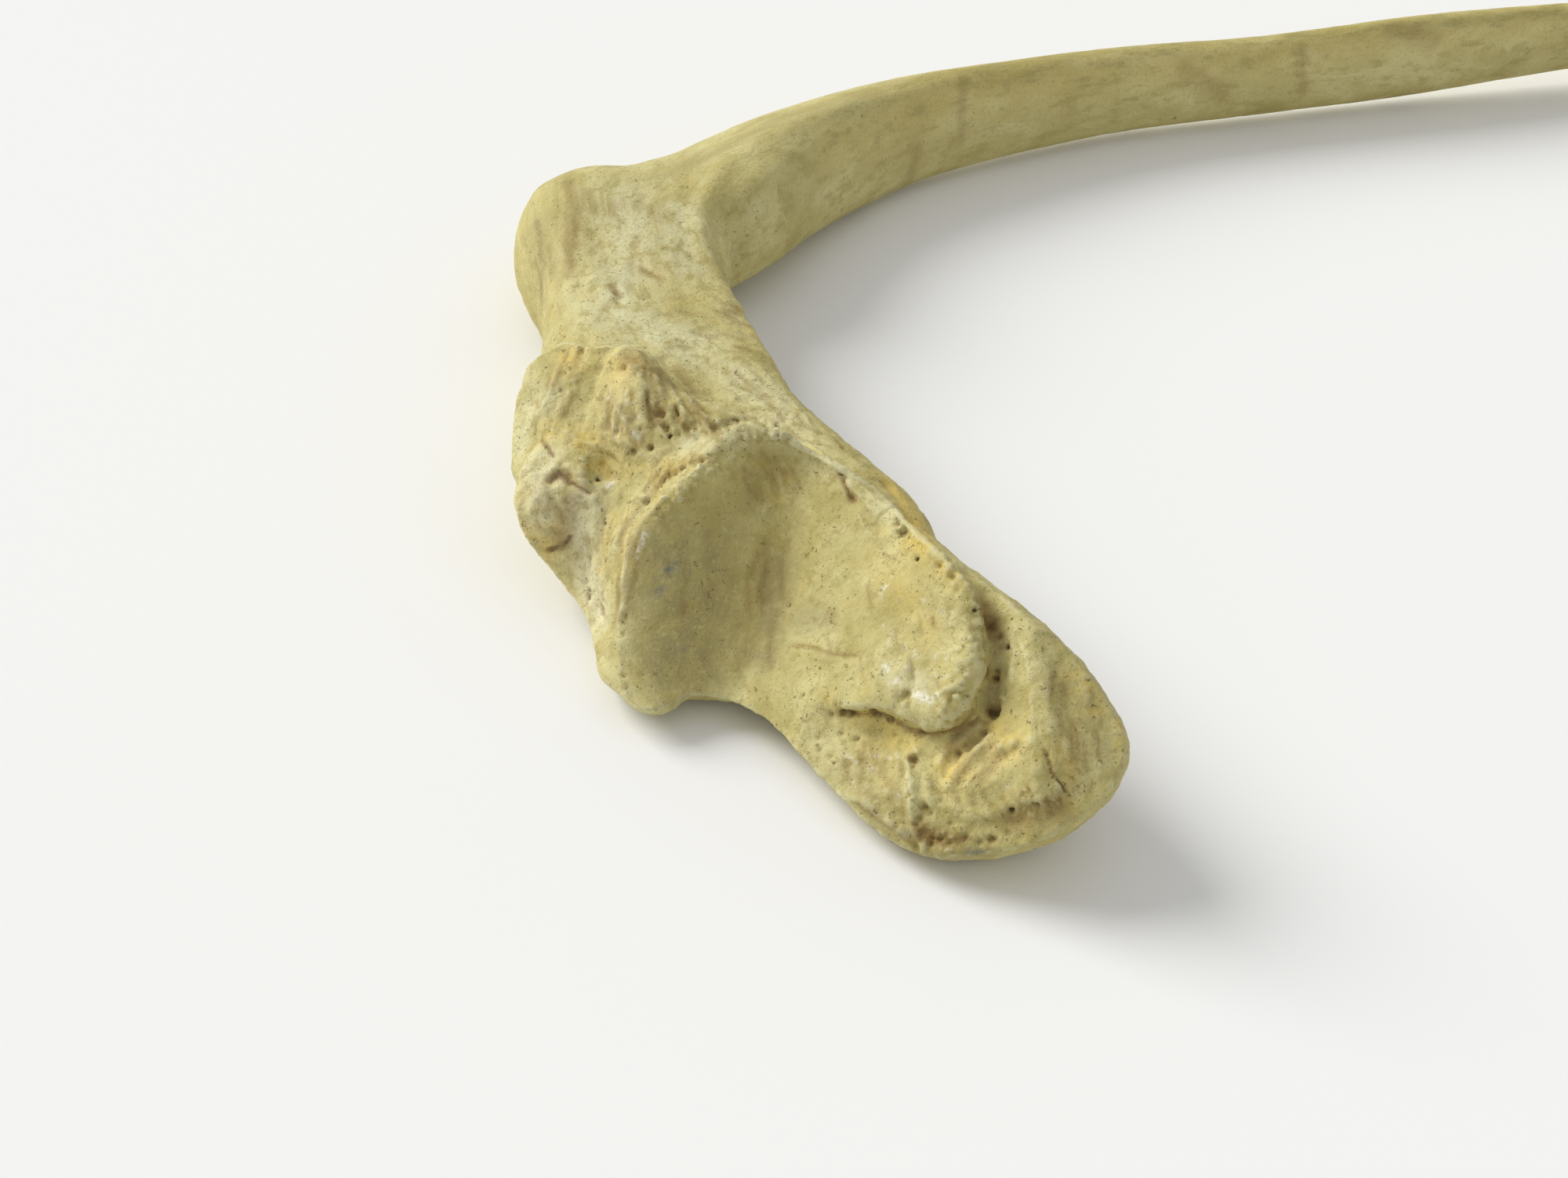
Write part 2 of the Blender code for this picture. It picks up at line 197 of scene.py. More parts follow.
def curveThrough(pixels, step):
    # an even Catmull-Rom curve through pixel points
    knots = [np.array(pixels[i:i + 2], dtype=float) for i in range(0, len(pixels), 2)]
    if len(knots) == 1:
        return knots
    knots = [2 * knots[0] - knots[1]] + knots + [2 * knots[-1] - knots[-2]]
    curve = []
    for a, b, c, d in zip(knots, knots[1:], knots[2:], knots[3:]):
        count = max(1, int(np.linalg.norm(c - b) / step))
        for k in range(count):
            t = k / count
            curve.append(0.5 * (2 * b + (c - a) * t + (2 * a - 5 * b + 4 * c - d) * t * t
                                + (3 * b - a - 3 * c + d) * t ** 3))
    curve.append(knots[-2])
    return curve


class Sculpture:
    def __init__(self, mesh):
        self.mesh = mesh
        corners = np.empty(len(mesh.loops), dtype=np.int32)
        mesh.loops.foreach_get("vertex_index", corners)
        self.faces = corners.reshape(-1, 4).tolist()      # a voxel remesh gives quads only
        pairs = np.empty(len(mesh.edges) * 2, dtype=np.int32)
        mesh.edges.foreach_get("vertices", pairs)
        self.starts, self.ends = pairs.reshape(-1, 2).T
        self.count = np.bincount(pairs, minlength=len(mesh.vertices))
        self.read()

    def read(self):
        self.points = readPoints(self.mesh)
        self.normals = readNormals(self.mesh)
        self.tree = BVHTree.FromPolygons(self.points.tolist(), self.faces)

    def write(self):
        writePoints(self.mesh, self.points)
        self.read()

    def around(self, values):
        # the mean of each point's neighbours along the mesh's edges
        size = len(values)
        if values.ndim == 1:
            return (np.bincount(self.starts, values[self.ends], size)
                    + np.bincount(self.ends, values[self.starts], size)) / self.count
        return np.stack([self.around(column) for column in values.T], 1)

    def softened(self, values, steps):
        for _ in range(steps):
            values = 0.5 * values + 0.5 * self.around(values)
        return values

    def relax(self, steps, where):
        for _ in range(steps):
            change = (self.around(self.points) - self.points) * 0.5
            self.points += change * where[:, None]
        self.write()

    def seen(self, pixels, step=6.0):
        # where the camera's lines through the pixels meet the bone
        hits = []
        for x, y in curveThrough(pixels, step):
            place, normal, _, _ = self.tree.ray_cast(eye, pixelRay(float(x), float(y)))
            if place is not None:
                hits.append((np.array(place), np.array(normal)))
        return hits

    def falloff(self, pixels, radius, shape):
        # weight of every point near the stroke, with the indices of those points
        hits = self.seen(pixels)
        if not hits:
            return np.empty(0, int), np.empty(0)
        line = np.array([h[0] for h in hits])
        facing = np.array([h[1] for h in hits])
        reach = radius * mm
        low, high = line.min(0) - reach, line.max(0) + reach
        near = np.where(((self.points > low) & (self.points < high)).all(1))[0]
        if len(near) == 0:
            return near, np.empty(0)
        spots = self.points[near]
        best = np.full(len(near), 1e9)
        side = np.zeros((len(near), 3))
        if len(line) == 1:
            line, facing = np.repeat(line, 2, 0), np.repeat(facing, 2, 0)
        for a, na, b, nb in zip(line, facing, line[1:], facing[1:]):
            ab = b - a
            long = ab @ ab
            t = np.clip(((spots - a) @ ab) / long, 0, 1) if long > 0 else np.zeros(len(near))
            gap = np.linalg.norm(spots - (a + t[:, None] * ab), axis=1)
            closer = gap < best
            best[closer] = gap[closer]
            side[closer] = (na + t[:, None] * (nb - na))[closer]
        q = np.clip(best / reach, 0, 1)
        if shape == "crease":
            weight = (1 - q) ** 1.6
        else:
            weight = np.cos(q * math.pi / 2) ** 2
        weight = weight * np.clip((self.normals[near] * side).sum(1) * 1.6 + 0.35, 0, 1)
        return near, weight

    def press(self, strokes):
        for radius, height, shape, pixels in strokes:
            near, weight = self.falloff(pixels, radius, shape)
            self.points[near] += self.normals[near] * (weight * height * mm)[:, None]

    def painted(self, strokes):
        # a value from 0 to 1 for every point, laid on with strokes of (radius mm, strength, pixels)
        value = np.zeros(len(self.points))
        for radius, strength, pixels in strokes:
            near, weight = self.falloff(pixels, radius, "round")
            value[near] = np.maximum(value[near], weight * strength)
        return value


# The front of the head is shaped over a tilted plane through the middle of the joint face. Each
# named line runs over pixels x, y of the photograph, with its height in mm over that plane.
facePlane = {
    "fromCorner": (80.07, 44.5, 20.4),    # mm, from the low corner of the bone's box
    "along": (0.86, -0.51, 0.0),          # from the tubercle to the head
    "tilt": 42.0,                         # degrees that the plane leans back
    "reach": (5.0, 10.0),                 # mm from the lines: full effect, none
    "spacing": 16,                        # pixels between the sites on a line
    "margin": 12,                         # mm round the sites, and behind the plane
    "slack": 0.6,                         # how freely the surface may pass the sites by
    "change": (3.0, 6.0),                 # mm: taken in full, left out
    "relaxing": 6,
}

faceLines = {
    "rimCrest": (
        (897, 597, 11.5), (872, 617, 12.5), (842, 645, 13.2), (815, 680, 13.6), (800, 720, 13.6),
        (793, 760, 13.4), (790, 800, 13.2), (790, 840, 13.4), (797, 875, 14.0), (812, 898, 14.4),
        (833, 907, 14.0),
    ),
    "rimInside": (
        (915, 610, 9.8), (885, 632, 11.0), (857, 660, 11.7), (832, 695, 12.3), (818, 735, 12.4),
        (812, 780, 12.2), (812, 830, 12.4), (822, 870, 12.6), (845, 892, 12.0),
    ),
    "wallHigh": (
        (935, 640, 6.6), (900, 680, 8.0), (872, 720, 8.8), (862, 770, 9.2), (860, 830, 9.3),
        (866, 875, 9.0),
    ),
    "wallLow": (
        (965, 640, 3.2), (945, 700, 3.4), (928, 750, 3.6), (915, 800, 4.4), (902, 850, 5.6),
        (900, 878, 5.6),
    ),
    "valley": (
        (1000, 590, -0.5), (1008, 630, -1.2), (1002, 690, -0.8), (990, 750, -0.1), (972, 810, 0.8),
        (950, 860, 2.2), (935, 888, 3.0),
    ),
    "lobeFoot": (
        (1045, 620, -0.4), (1045, 680, 0.8), (1040, 750, 1.8), (1025, 810, 2.4), (1005, 860, 3.4),
        (985, 900, 3.6),
    ),
    "lobeMiddle": (
        (1090, 650, 1.8), (1100, 710, 3.6), (1105, 770, 5.2), (1100, 830, 6.0), (1085, 880, 6.8),
    ),
    "lobeHigh": (
        (1135, 670, 3.8), (1160, 720, 6.4), (1175, 780, 8.6), (1178, 840, 9.2), (1160, 885, 9.2),
    ),
    "lobeCrown": (
        (1195, 738, 8.4), (1216, 775, 10.2), (1222, 815, 10.6), (1214, 855, 10.6), (1192, 890, 10.3),
    ),
    "lobeLip": (
        (1165, 675, 4.6), (1190, 700, 7.2), (1210, 722, 8.6), (1232, 745, 9.4), (1246, 780, 9.7),
        (1250, 820, 9.8), (1248, 860, 9.7), (1234, 898, 9.6), (1205, 924, 9.6), (1180, 924, 9.4),
        (1160, 914, 9.2), (1130, 900, 8.6), (1095, 898, 7.8), (1060, 898, 6.6),
    ),
    "underLip": (
        (1223, 716, 6.0), (1247, 740, 5.6), (1262, 775, 5.0), (1266, 820, 4.7), (1263, 868, 4.8),
        (1248, 910, 5.5), (1209, 940, 6.2), (1174, 933, 5.8), (1137, 916, 5.4), (1095, 911, 5.0),
        (1060, 910, 4.8),
    ),
    "groove": (
        (1262, 752, 5.4), (1281, 800, 5.2), (1284, 850, 5.6), (1277, 900, 5.8), (1255, 935, 6.0),
    ),
    "flankRidge": (
        (1292, 765, 5.6), (1312, 800, 6.4), (1322, 850, 7.4), (1324, 900, 8.3), (1325, 950, 8.7),
        (1323, 1000, 8.3), (1318, 1040, 7.2),
    ),
    "grooveSlope": (
        (1298, 815, 6.0), (1305, 860, 6.9), (1303, 905, 7.4), (1296, 945, 7.6),
    ),
    "flank": (
        (1345, 815, 3.0), (1365, 860, 4.0), (1375, 910, 5.0), (1378, 960, 5.2), (1370, 1010, 4.2),
    ),
    "ligamentPit": (
        (1215, 978, 6.6), (1240, 968, 6.7), (1265, 955, 6.8),
    ),
    "pitBelow": (
        (1190, 1015, 7.4), (1225, 1018, 7.4), (1265, 1010, 7.4), (1295, 985, 7.6),
    ),
    "headRidge": (
        (1168, 955, 6.8), (1164, 990, 7.8), (1165, 1020, 8.2), (1172, 1060, 6.6),
    ),
    "lowerFace": (
        (1040, 935, 4.8), (1075, 965, 5.8), (1110, 1000, 6.6), (1140, 1035, 6.4),
    ),
    "lowerRight": (
        (1210, 1050, 7.2), (1255, 1050, 7.0), (1300, 1045, 6.4),
    ),
    "channel": (
        (770, 665, 9.4), (766, 710, 9.2), (768, 750, 9.6), (776, 790, 10.4),
    ),
    "channelEdge": (
        (738, 700, 6.2), (748, 750, 5.4), (762, 790, 6.6),
    ),
    "tubercleCrest": (
        (705, 463, 6.5), (722, 447, 7.0), (740, 442, 7.4), (757, 448, 7.3), (770, 461, 7.6),
        (785, 451, 8.6), (800, 445, 9.2), (818, 448, 8.4), (832, 457, 7.0), (846, 473, 6.0),
        (860, 490, 5.6), (895, 507, 5.9), (930, 521, 6.0), (965, 535, 5.5), (1000, 549, 4.8),
    ),
    "mainMound": (
        (808, 466, 11.2), (812, 490, 12.0), (812, 520, 11.8), (802, 556, 11.0),
    ),
    "tubercleFlank": (
        (846, 482, 8.6), (866, 515, 8.3), (886, 548, 7.9),
    ),
    "leftMound": (
        (742, 464, 9.2), (722, 510, 9.4),
    ),
    "saddle": (
        (764, 474, 8.4), (752, 505, 8.8), (742, 540, 9.5),
    ),
    "hollow": (
        (832, 490, 9.4), (850, 540, 8.6),
    ),
    "paleBand": (
        (905, 545, 7.6), (850, 587, 9.2), (800, 640, 10.4),
    ),
    "swirlPit": (
        (768, 595, 8.8), (777, 612, 8.8),
    ),
    "swirlEdge": (
        (745, 575, 11.2), (742, 610, 11.6), (755, 642, 11.0),
    ),
    "knob": (
        (700, 598, 13.4), (688, 632, 14.2), (695, 670, 11.4),
    ),
}


def facePoint(x, y, height):
    # the place that the camera sees at pixel x, y, that many mm over the face plane
    sight = np.array(pixelRay(x, y))
    way = ((faceOrigin + faceOut * height * mm - np.array(eye)) @ faceOut) / (sight @ faceOut)
    return np.array(eye) + sight * way


def spread(sites, values, spots):
    # a smooth surface through the values at the sites, read at the spots
    def kernel(a, b):
        return np.linalg.norm(a[:, None] - b[None], axis=2) ** 1.5
    count = len(sites)
    flat = np.c_[np.ones(count), sites]
    system = np.zeros((count + 3, count + 3))
    system[:count, :count] = -kernel(sites, sites) + np.eye(count) * facePlane["slack"]
    system[:count, count:] = flat
    system[count:, :count] = flat.T
    weights = np.linalg.solve(system, np.r_[values, np.zeros(3)])
    parts = np.array_split(spots, len(spots) // 20000 + 1)    # a few at a time, to spare memory
    return np.concatenate([
        -kernel(part, sites) @ weights[:count] + np.c_[np.ones(len(part)), part] @ weights[count:]
        for part in parts])


faceOrigin = np.array(cadLow) + np.array(facePlane["fromCorner"]) * mm
faceAlong = np.array(facePlane["along"])
faceAlong /= np.linalg.norm(faceAlong)
lean = math.radians(facePlane["tilt"])
faceOut = np.array([faceAlong[1] * math.cos(lean), -faceAlong[0] * math.cos(lean), math.sin(lean)])
faceUp = np.cross(faceOut, faceAlong)


def shapeFace(sculpture):
    sites, heights = [], []
    for line in faceLines.values():
        for (x0, y0, h0), (x1, y1, h1) in zip(line, line[1:]):
            parts = max(1, round(math.hypot(x1 - x0, y1 - y0) / facePlane["spacing"]))
            for k in range(parts + (line[-1] == (x1, y1, h1))):
                t = k / parts
                spot = facePoint(x0 + (x1 - x0) * t, y0 + (y1 - y0) * t, h0 + (h1 - h0) * t) - faceOrigin
                sites.append((spot @ faceAlong / mm, spot @ faceUp / mm))
                heights.append(h0 + (h1 - h0) * t)
    sites, heights = np.array(sites), np.array(heights)
    local = sculpture.points - faceOrigin
    flat = np.c_[local @ faceAlong, local @ faceUp] / mm
    now = local @ faceOut / mm
    margin = facePlane["margin"]
    low, high = sites.min(0) - margin, sites.max(0) + margin
    facing = np.clip(sculpture.normals @ faceOut * 3, 0, 1)
    near = np.where(((flat > low) & (flat < high)).all(1) & (facing > 0) & (now > -margin))[0]
    gap = np.sqrt(((flat[near][:, None] - sites[None]) ** 2).sum(2)).min(1)
    full, none = facePlane["reach"]
    weight = np.clip((none - gap) / (none - full), 0, 1)
    weight = weight * weight * (3 - 2 * weight) * facing[near]
    target = spread(sites, heights, flat[near])
    change = (target - now[near]) * weight
    taken, left = facePlane["change"]
    change *= np.clip((left - np.abs(target - now[near])) / (left - taken), 0, 1)
    print("face shaped:", len(sites), "sites, change",
          change.min().round(1), "to", change.max().round(1), "mm")
    sculpture.points[near] += faceOut * (change * mm)[:, None]
    sculpture.write()
    moved = np.zeros(len(sculpture.points))
    moved[near] = np.clip(np.abs(change), 0, 1)
    sculpture.relax(facePlane["relaxing"], sculpture.softened(moved, 4))


# Fine forms, feature by feature: radius mm, height mm, shape, pixels
strokes = {
    "facetEdge": (
        (1.2, 0.3, "crease", (915, 583, 897, 592, 872, 611, 845, 636, 822, 664, 806, 697, 797, 730, 792,
          770, 790, 812, 791, 850, 799, 884)),
        (1.8, -0.25, "round", (884, 585, 852, 610, 826, 636, 806, 664, 792, 700, 784, 740)),
        (1.4, 0.25, "crease", (842, 600, 818, 628, 800, 655, 788, 690)),
        (2.2, 0.5, "round", (905, 575, 930, 560, 960, 551, 990, 553)),
        (1.6, 0.8, "crease", (990, 553, 1025, 567, 1060, 590, 1085, 606, 1118, 630, 1146, 657, 1170, 684,
          1196, 706, 1212, 722)), (2.4, -0.5, "round", (1000, 575, 1040, 592, 1070, 612)),
        (1.3, 0.45, "crease", (1060, 600, 1085, 622, 1110, 645, 1135, 668, 1150, 690)),
        (1.6, -0.5, "round", (1085, 640, 1105, 655, 1122, 678)),
        (0.9, -1.0, "crease", (1070, 604, 1079, 606, 1076, 614, 1081, 622, 1084, 631, 1090, 638)),
        (1.0, 0.35, "crease", (1092, 648, 1110, 652, 1124, 672, 1118, 686, 1102, 672, 1092, 648)),
    ),
    "facetFloor": (
        (6.0, -0.5, "round", (945, 590, 960, 600, 985, 612)),
        (1.6, -0.3, "round", (955, 575, 975, 595, 990, 615, 998, 640)),
        (1.2, 0.3, "round", (972, 580, 990, 600, 1002, 622)),
        (1.2, 0.25, "round", (988, 578, 1004, 596, 1014, 618)),
        (1.4, 0.45, "round", (972, 652, 990, 642, 1004, 640)),
        (2.0, -0.2, "round", (982, 730, 980, 760, 974, 790, 966, 820, 956, 850, 946, 880)),
        (1.6, 0.2, "round", (996, 725, 993, 755, 987, 786, 979, 816, 970, 846)),
        (2.4, 0.2, "round", (1084, 752, 1082, 775, 1077, 800)),
        (0.7, -0.4, "crease", (1012, 823, 1030, 825, 1046, 830, 1062, 834, 1092, 836)),
        (6.0, -0.3, "round", (1028, 790, 1045, 785)), (3.0, 0.3, "round", (1110, 745, 1125, 770)),
        (2.4, -0.25, "round", (1140, 745, 1150, 775, 1145, 800)),
        (2.6, 0.3, "round", (1165, 800, 1165, 830, 1150, 855)),
    ),
    "lobeLip": (
        (1.3, 0.4, "crease", (1212, 724, 1230, 742, 1243, 766, 1249, 795, 1250, 830, 1247, 862, 1236, 892,
          1215, 915, 1192, 926, 1170, 921, 1150, 910, 1128, 901, 1100, 899, 1075, 900)),
        (2.2, -0.8, "round", (1236, 730, 1256, 756, 1265, 785, 1266, 810)),
        (0.9, -0.5, "crease", (1074, 909, 1090, 909, 1110, 911, 1128, 913)),
        (1.4, -0.8, "crease", (1128, 913, 1148, 922, 1168, 933, 1190, 938, 1212, 934, 1236, 920)),
        (1.4, 0.5, "round", (1240, 843, 1254, 850, 1250, 864)),
        (1.2, -0.5, "crease", (1236, 846, 1229, 858, 1221, 878, 1207, 890)),
        (1.5, 0.4, "round", (1238, 768, 1246, 776)),
        (1.2, 0.3, "round", (1222, 866, 1210, 880, 1195, 888)),
    ),
    "groove": (
        (1.5, 0.35, "crease", (1290, 800, 1302, 820, 1310, 842, 1316, 872, 1318, 905, 1315, 940)),
        (1.2, 0.35, "crease", (1292, 812, 1295, 834, 1290, 866)),
        (1.3, -0.35, "round", (1280, 812, 1284, 835, 1282, 862)),
        (1.2, 0.4, "crease", (1262, 838, 1276, 842)),
        (1.2, 0.4, "crease", (1258, 880, 1272, 886, 1282, 892)),
        (1.4, -0.5, "round", (1262, 852, 1266, 868)), (1.5, -0.5, "round", (1268, 896, 1267, 912)),
        (1.4, -0.3, "round", (1300, 850, 1305, 880, 1306, 905)),
    ),
    "ligamentOval": (
        (2.4, 0.35, "round", (1196, 958, 1212, 984, 1240, 1000, 1274, 996, 1300, 974, 1314, 946)),
        (1.4, -0.5, "round", (1207, 984, 1215, 970, 1223, 962, 1242, 946, 1263, 930)),
        (1.8, 0.45, "round", (1210, 1000, 1224, 984, 1244, 966, 1264, 953, 1293, 945)),
        (1.3, -0.3, "round", (1226, 996, 1246, 980, 1268, 967, 1296, 956)),
        (1.3, 0.3, "round", (1198, 974, 1212, 956, 1234, 938, 1252, 922)),
        (1.0, -0.25, "round", (1190, 966, 1204, 950, 1226, 932, 1246, 914)),
        (1.0, -0.3, "crease", (1178, 966, 1186, 992, 1200, 1012, 1222, 1024)),
    ),
    "headRidge": (
        (1.6, 0.6, "crease", (1157, 967, 1160, 990, 1162, 1020, 1164, 1050, 1172, 1066)),
        (1.3, -0.3, "round", (1172, 990, 1173, 1012, 1180, 1036)),
        (1.4, 0.3, "round", (1184, 1000, 1188, 1024, 1196, 1050)),
        (2.4, -0.4, "round", (1182, 1030, 1200, 1040, 1222, 1044)),
        (1.8, 0.4, "round", (1216, 1034, 1240, 1040, 1270, 1036, 1298, 1020)),
        (2.2, -0.35, "round", (1240, 1056, 1270, 1054, 1300, 1044)),
        (1.4, 0.3, "round", (1300, 1012, 1320, 1020, 1340, 1018)),
    ),
    "flank": (
        (0.55, -0.6, "crease", (1333, 957, 1339, 974, 1343, 987, 1353, 1000, 1363, 1013)),
        (0.6, -0.35, "crease", (1356, 985, 1368, 992, 1376, 1004)),
        (2.4, 0.3, "round", (1330, 850, 1336, 890, 1340, 930)),
        (2.4, -0.3, "round", (1350, 850, 1360, 890, 1362, 930)),
        (2.4, 0.25, "round", (1376, 870, 1388, 905, 1390, 945)),
        (1.6, -0.25, "round", (1310, 1030, 1330, 1036, 1350, 1032, 1372, 1018)),
    ),
    "tubercle": (
        (2.2, 0.5, "round", (776, 463, 790, 452, 808, 449, 824, 454, 836, 466)),
        (1.2, 0.4, "crease", (800, 452, 812, 451, 820, 456, 818, 464, 806, 465, 798, 458, 800, 452)),
        (1.3, -0.6, "round", (790, 470, 800, 468)), (1.0, -0.25, "crease", (782, 478, 800, 476)),
        (1.3, -0.5, "crease", (825, 500, 826, 514, 834, 527)),
        (1.6, 0.4, "round", (816, 482, 816, 505, 820, 528, 824, 548)),
        (1.2, 0.35, "crease", (836, 480, 842, 500, 850, 520, 858, 538)),
        (1.0, -0.35, "crease", (842, 478, 850, 498, 860, 518, 868, 534)),
        (1.0, 0.3, "crease", (850, 482, 860, 502, 872, 522, 880, 536)),
        (0.9, -0.35, "crease", (860, 492, 870, 508, 884, 528, 894, 540)),
        (0.9, 0.3, "crease", (872, 498, 884, 514, 898, 532)),
        (0.9, -0.3, "crease", (884, 504, 898, 522, 908, 536)),
        (1.8, 0.4, "round", (774, 470, 766, 492, 758, 520, 750, 545)),
        (2.0, -0.35, "round", (764, 470, 758, 492, 750, 516)),
        (1.2, 0.45, "crease", (780, 495, 790, 520, 802, 540, 812, 556)),
        (2.0, -0.3, "round", (776, 516, 780, 536, 786, 552)),
        (0.9, -0.3, "crease", (796, 506, 806, 524, 820, 545)),
        (1.4, 0.5, "crease", (725, 552, 742, 564, 764, 569, 786, 578, 802, 598)),
        (1.1, -0.35, "crease", (730, 562, 748, 573, 770, 578, 788, 588, 798, 602)),
        (1.4, 0.45, "crease", (745, 584, 742, 606, 748, 628, 758, 636)),
        (1.4, 0.45, "crease", (757, 636, 774, 622, 786, 616, 790, 628)),
        (1.1, -0.3, "crease", (752, 590, 752, 608, 760, 624)), (2.2, -0.5, "round", (768, 592, 776, 604)),
        (1.4, -0.25, "round", (716, 470, 718, 488, 712, 508, 702, 530)),
        (1.4, 0.3, "round", (726, 462, 728, 482, 722, 506, 712, 530)),
        (1.1, -0.4, "round", (738, 446, 744, 456)), (1.4, 0.3, "round", (690, 552, 706, 546, 722, 552)),
        (0.8, -0.5, "crease", (690, 560, 697, 568, 706, 582)),
    ),
    "knob": (
        (4.5, 0.7, "round", (692, 630, 690, 650)), (1.6, -0.45, "round", (704, 614, 712, 606, 722, 606)),
        (0.9, -0.6, "crease", (702, 611, 714, 605, 725, 614, 738, 621, 752, 630)),
        (1.4, 0.5, "round", (706, 597, 722, 594, 738, 603, 746, 616)),
        (1.6, 0.4, "round", (716, 622, 732, 632)), (1.6, -0.5, "round", (708, 676, 716, 680)),
        (1.0, -0.8, "crease", (700, 701, 712, 697, 722, 692, 728, 684)),
        (1.5, 0.4, "round", (698, 664, 712, 664, 726, 672)),
        (1.3, 0.35, "round", (716, 636, 722, 652, 730, 664)),
        (1.5, 0.4, "round", (730, 696, 722, 708, 712, 714)),
    ),
    "channel": (
        (1.4, 0.25, "round", (762, 650, 758, 690, 762, 730, 770, 770)),
        (1.2, -0.2, "round", (752, 660, 750, 695, 754, 735, 764, 775)),
        (1.2, 0.25, "round", (778, 656, 774, 690, 774, 730)), (0.9, -0.7, "crease", (752, 754, 753, 764)),
        (0.9, -0.8, "crease", (767, 770, 770, 782)), (1.0, -0.5, "crease", (786, 804, 794, 810)),
        (1.8, 0.3, "round", (720, 712, 738, 738, 752, 768, 766, 800, 778, 832)),
    ),
    "web": (
        (5.0, 0.5, "round", (894, 290, 900, 318, 914, 350, 932, 386)),
        (3.0, 0.5, "round", (940, 392, 958, 422, 976, 452)),
        (7.0, 0.5, "round", (712, 236, 722, 262, 724, 295, 712, 340, 712, 390)),
        (5.0, 0.5, "round", (1240, 101, 1100, 130, 1000, 164, 950, 190, 920, 214, 903, 248, 894, 290, 903,
          325, 920, 358, 936, 390)),
        (6.0, -0.6, "round", (1110, 150, 1010, 186, 960, 212, 932, 244, 915, 280, 916, 312, 926, 345)),
        (1.8, -0.4, "round", (786, 364, 792, 374, 790, 386)),
        (1.3, 0.4, "round", (748, 362, 766, 354, 784, 360, 796, 372)),
        (1.2, -0.3, "round", (752, 372, 768, 364, 782, 370)), (1.4, -0.3, "round", (826, 344, 836, 352)),
        (4.0, 0.4, "round", (716, 380, 710, 410, 706, 436)),
        (2.0, -0.4, "round", (720, 430, 734, 428, 752, 436)),
        (2.0, -0.5, "round", (770, 450, 790, 438, 815, 436)),
        (3.0, -0.5, "round", (850, 462, 876, 484, 910, 500)),
        (3.0, 0.5, "round", (1092, 600, 1120, 616, 1142, 640)),
        (3.0, -0.9, "round", (1130, 618, 1148, 642, 1166, 668)),
    ),
}

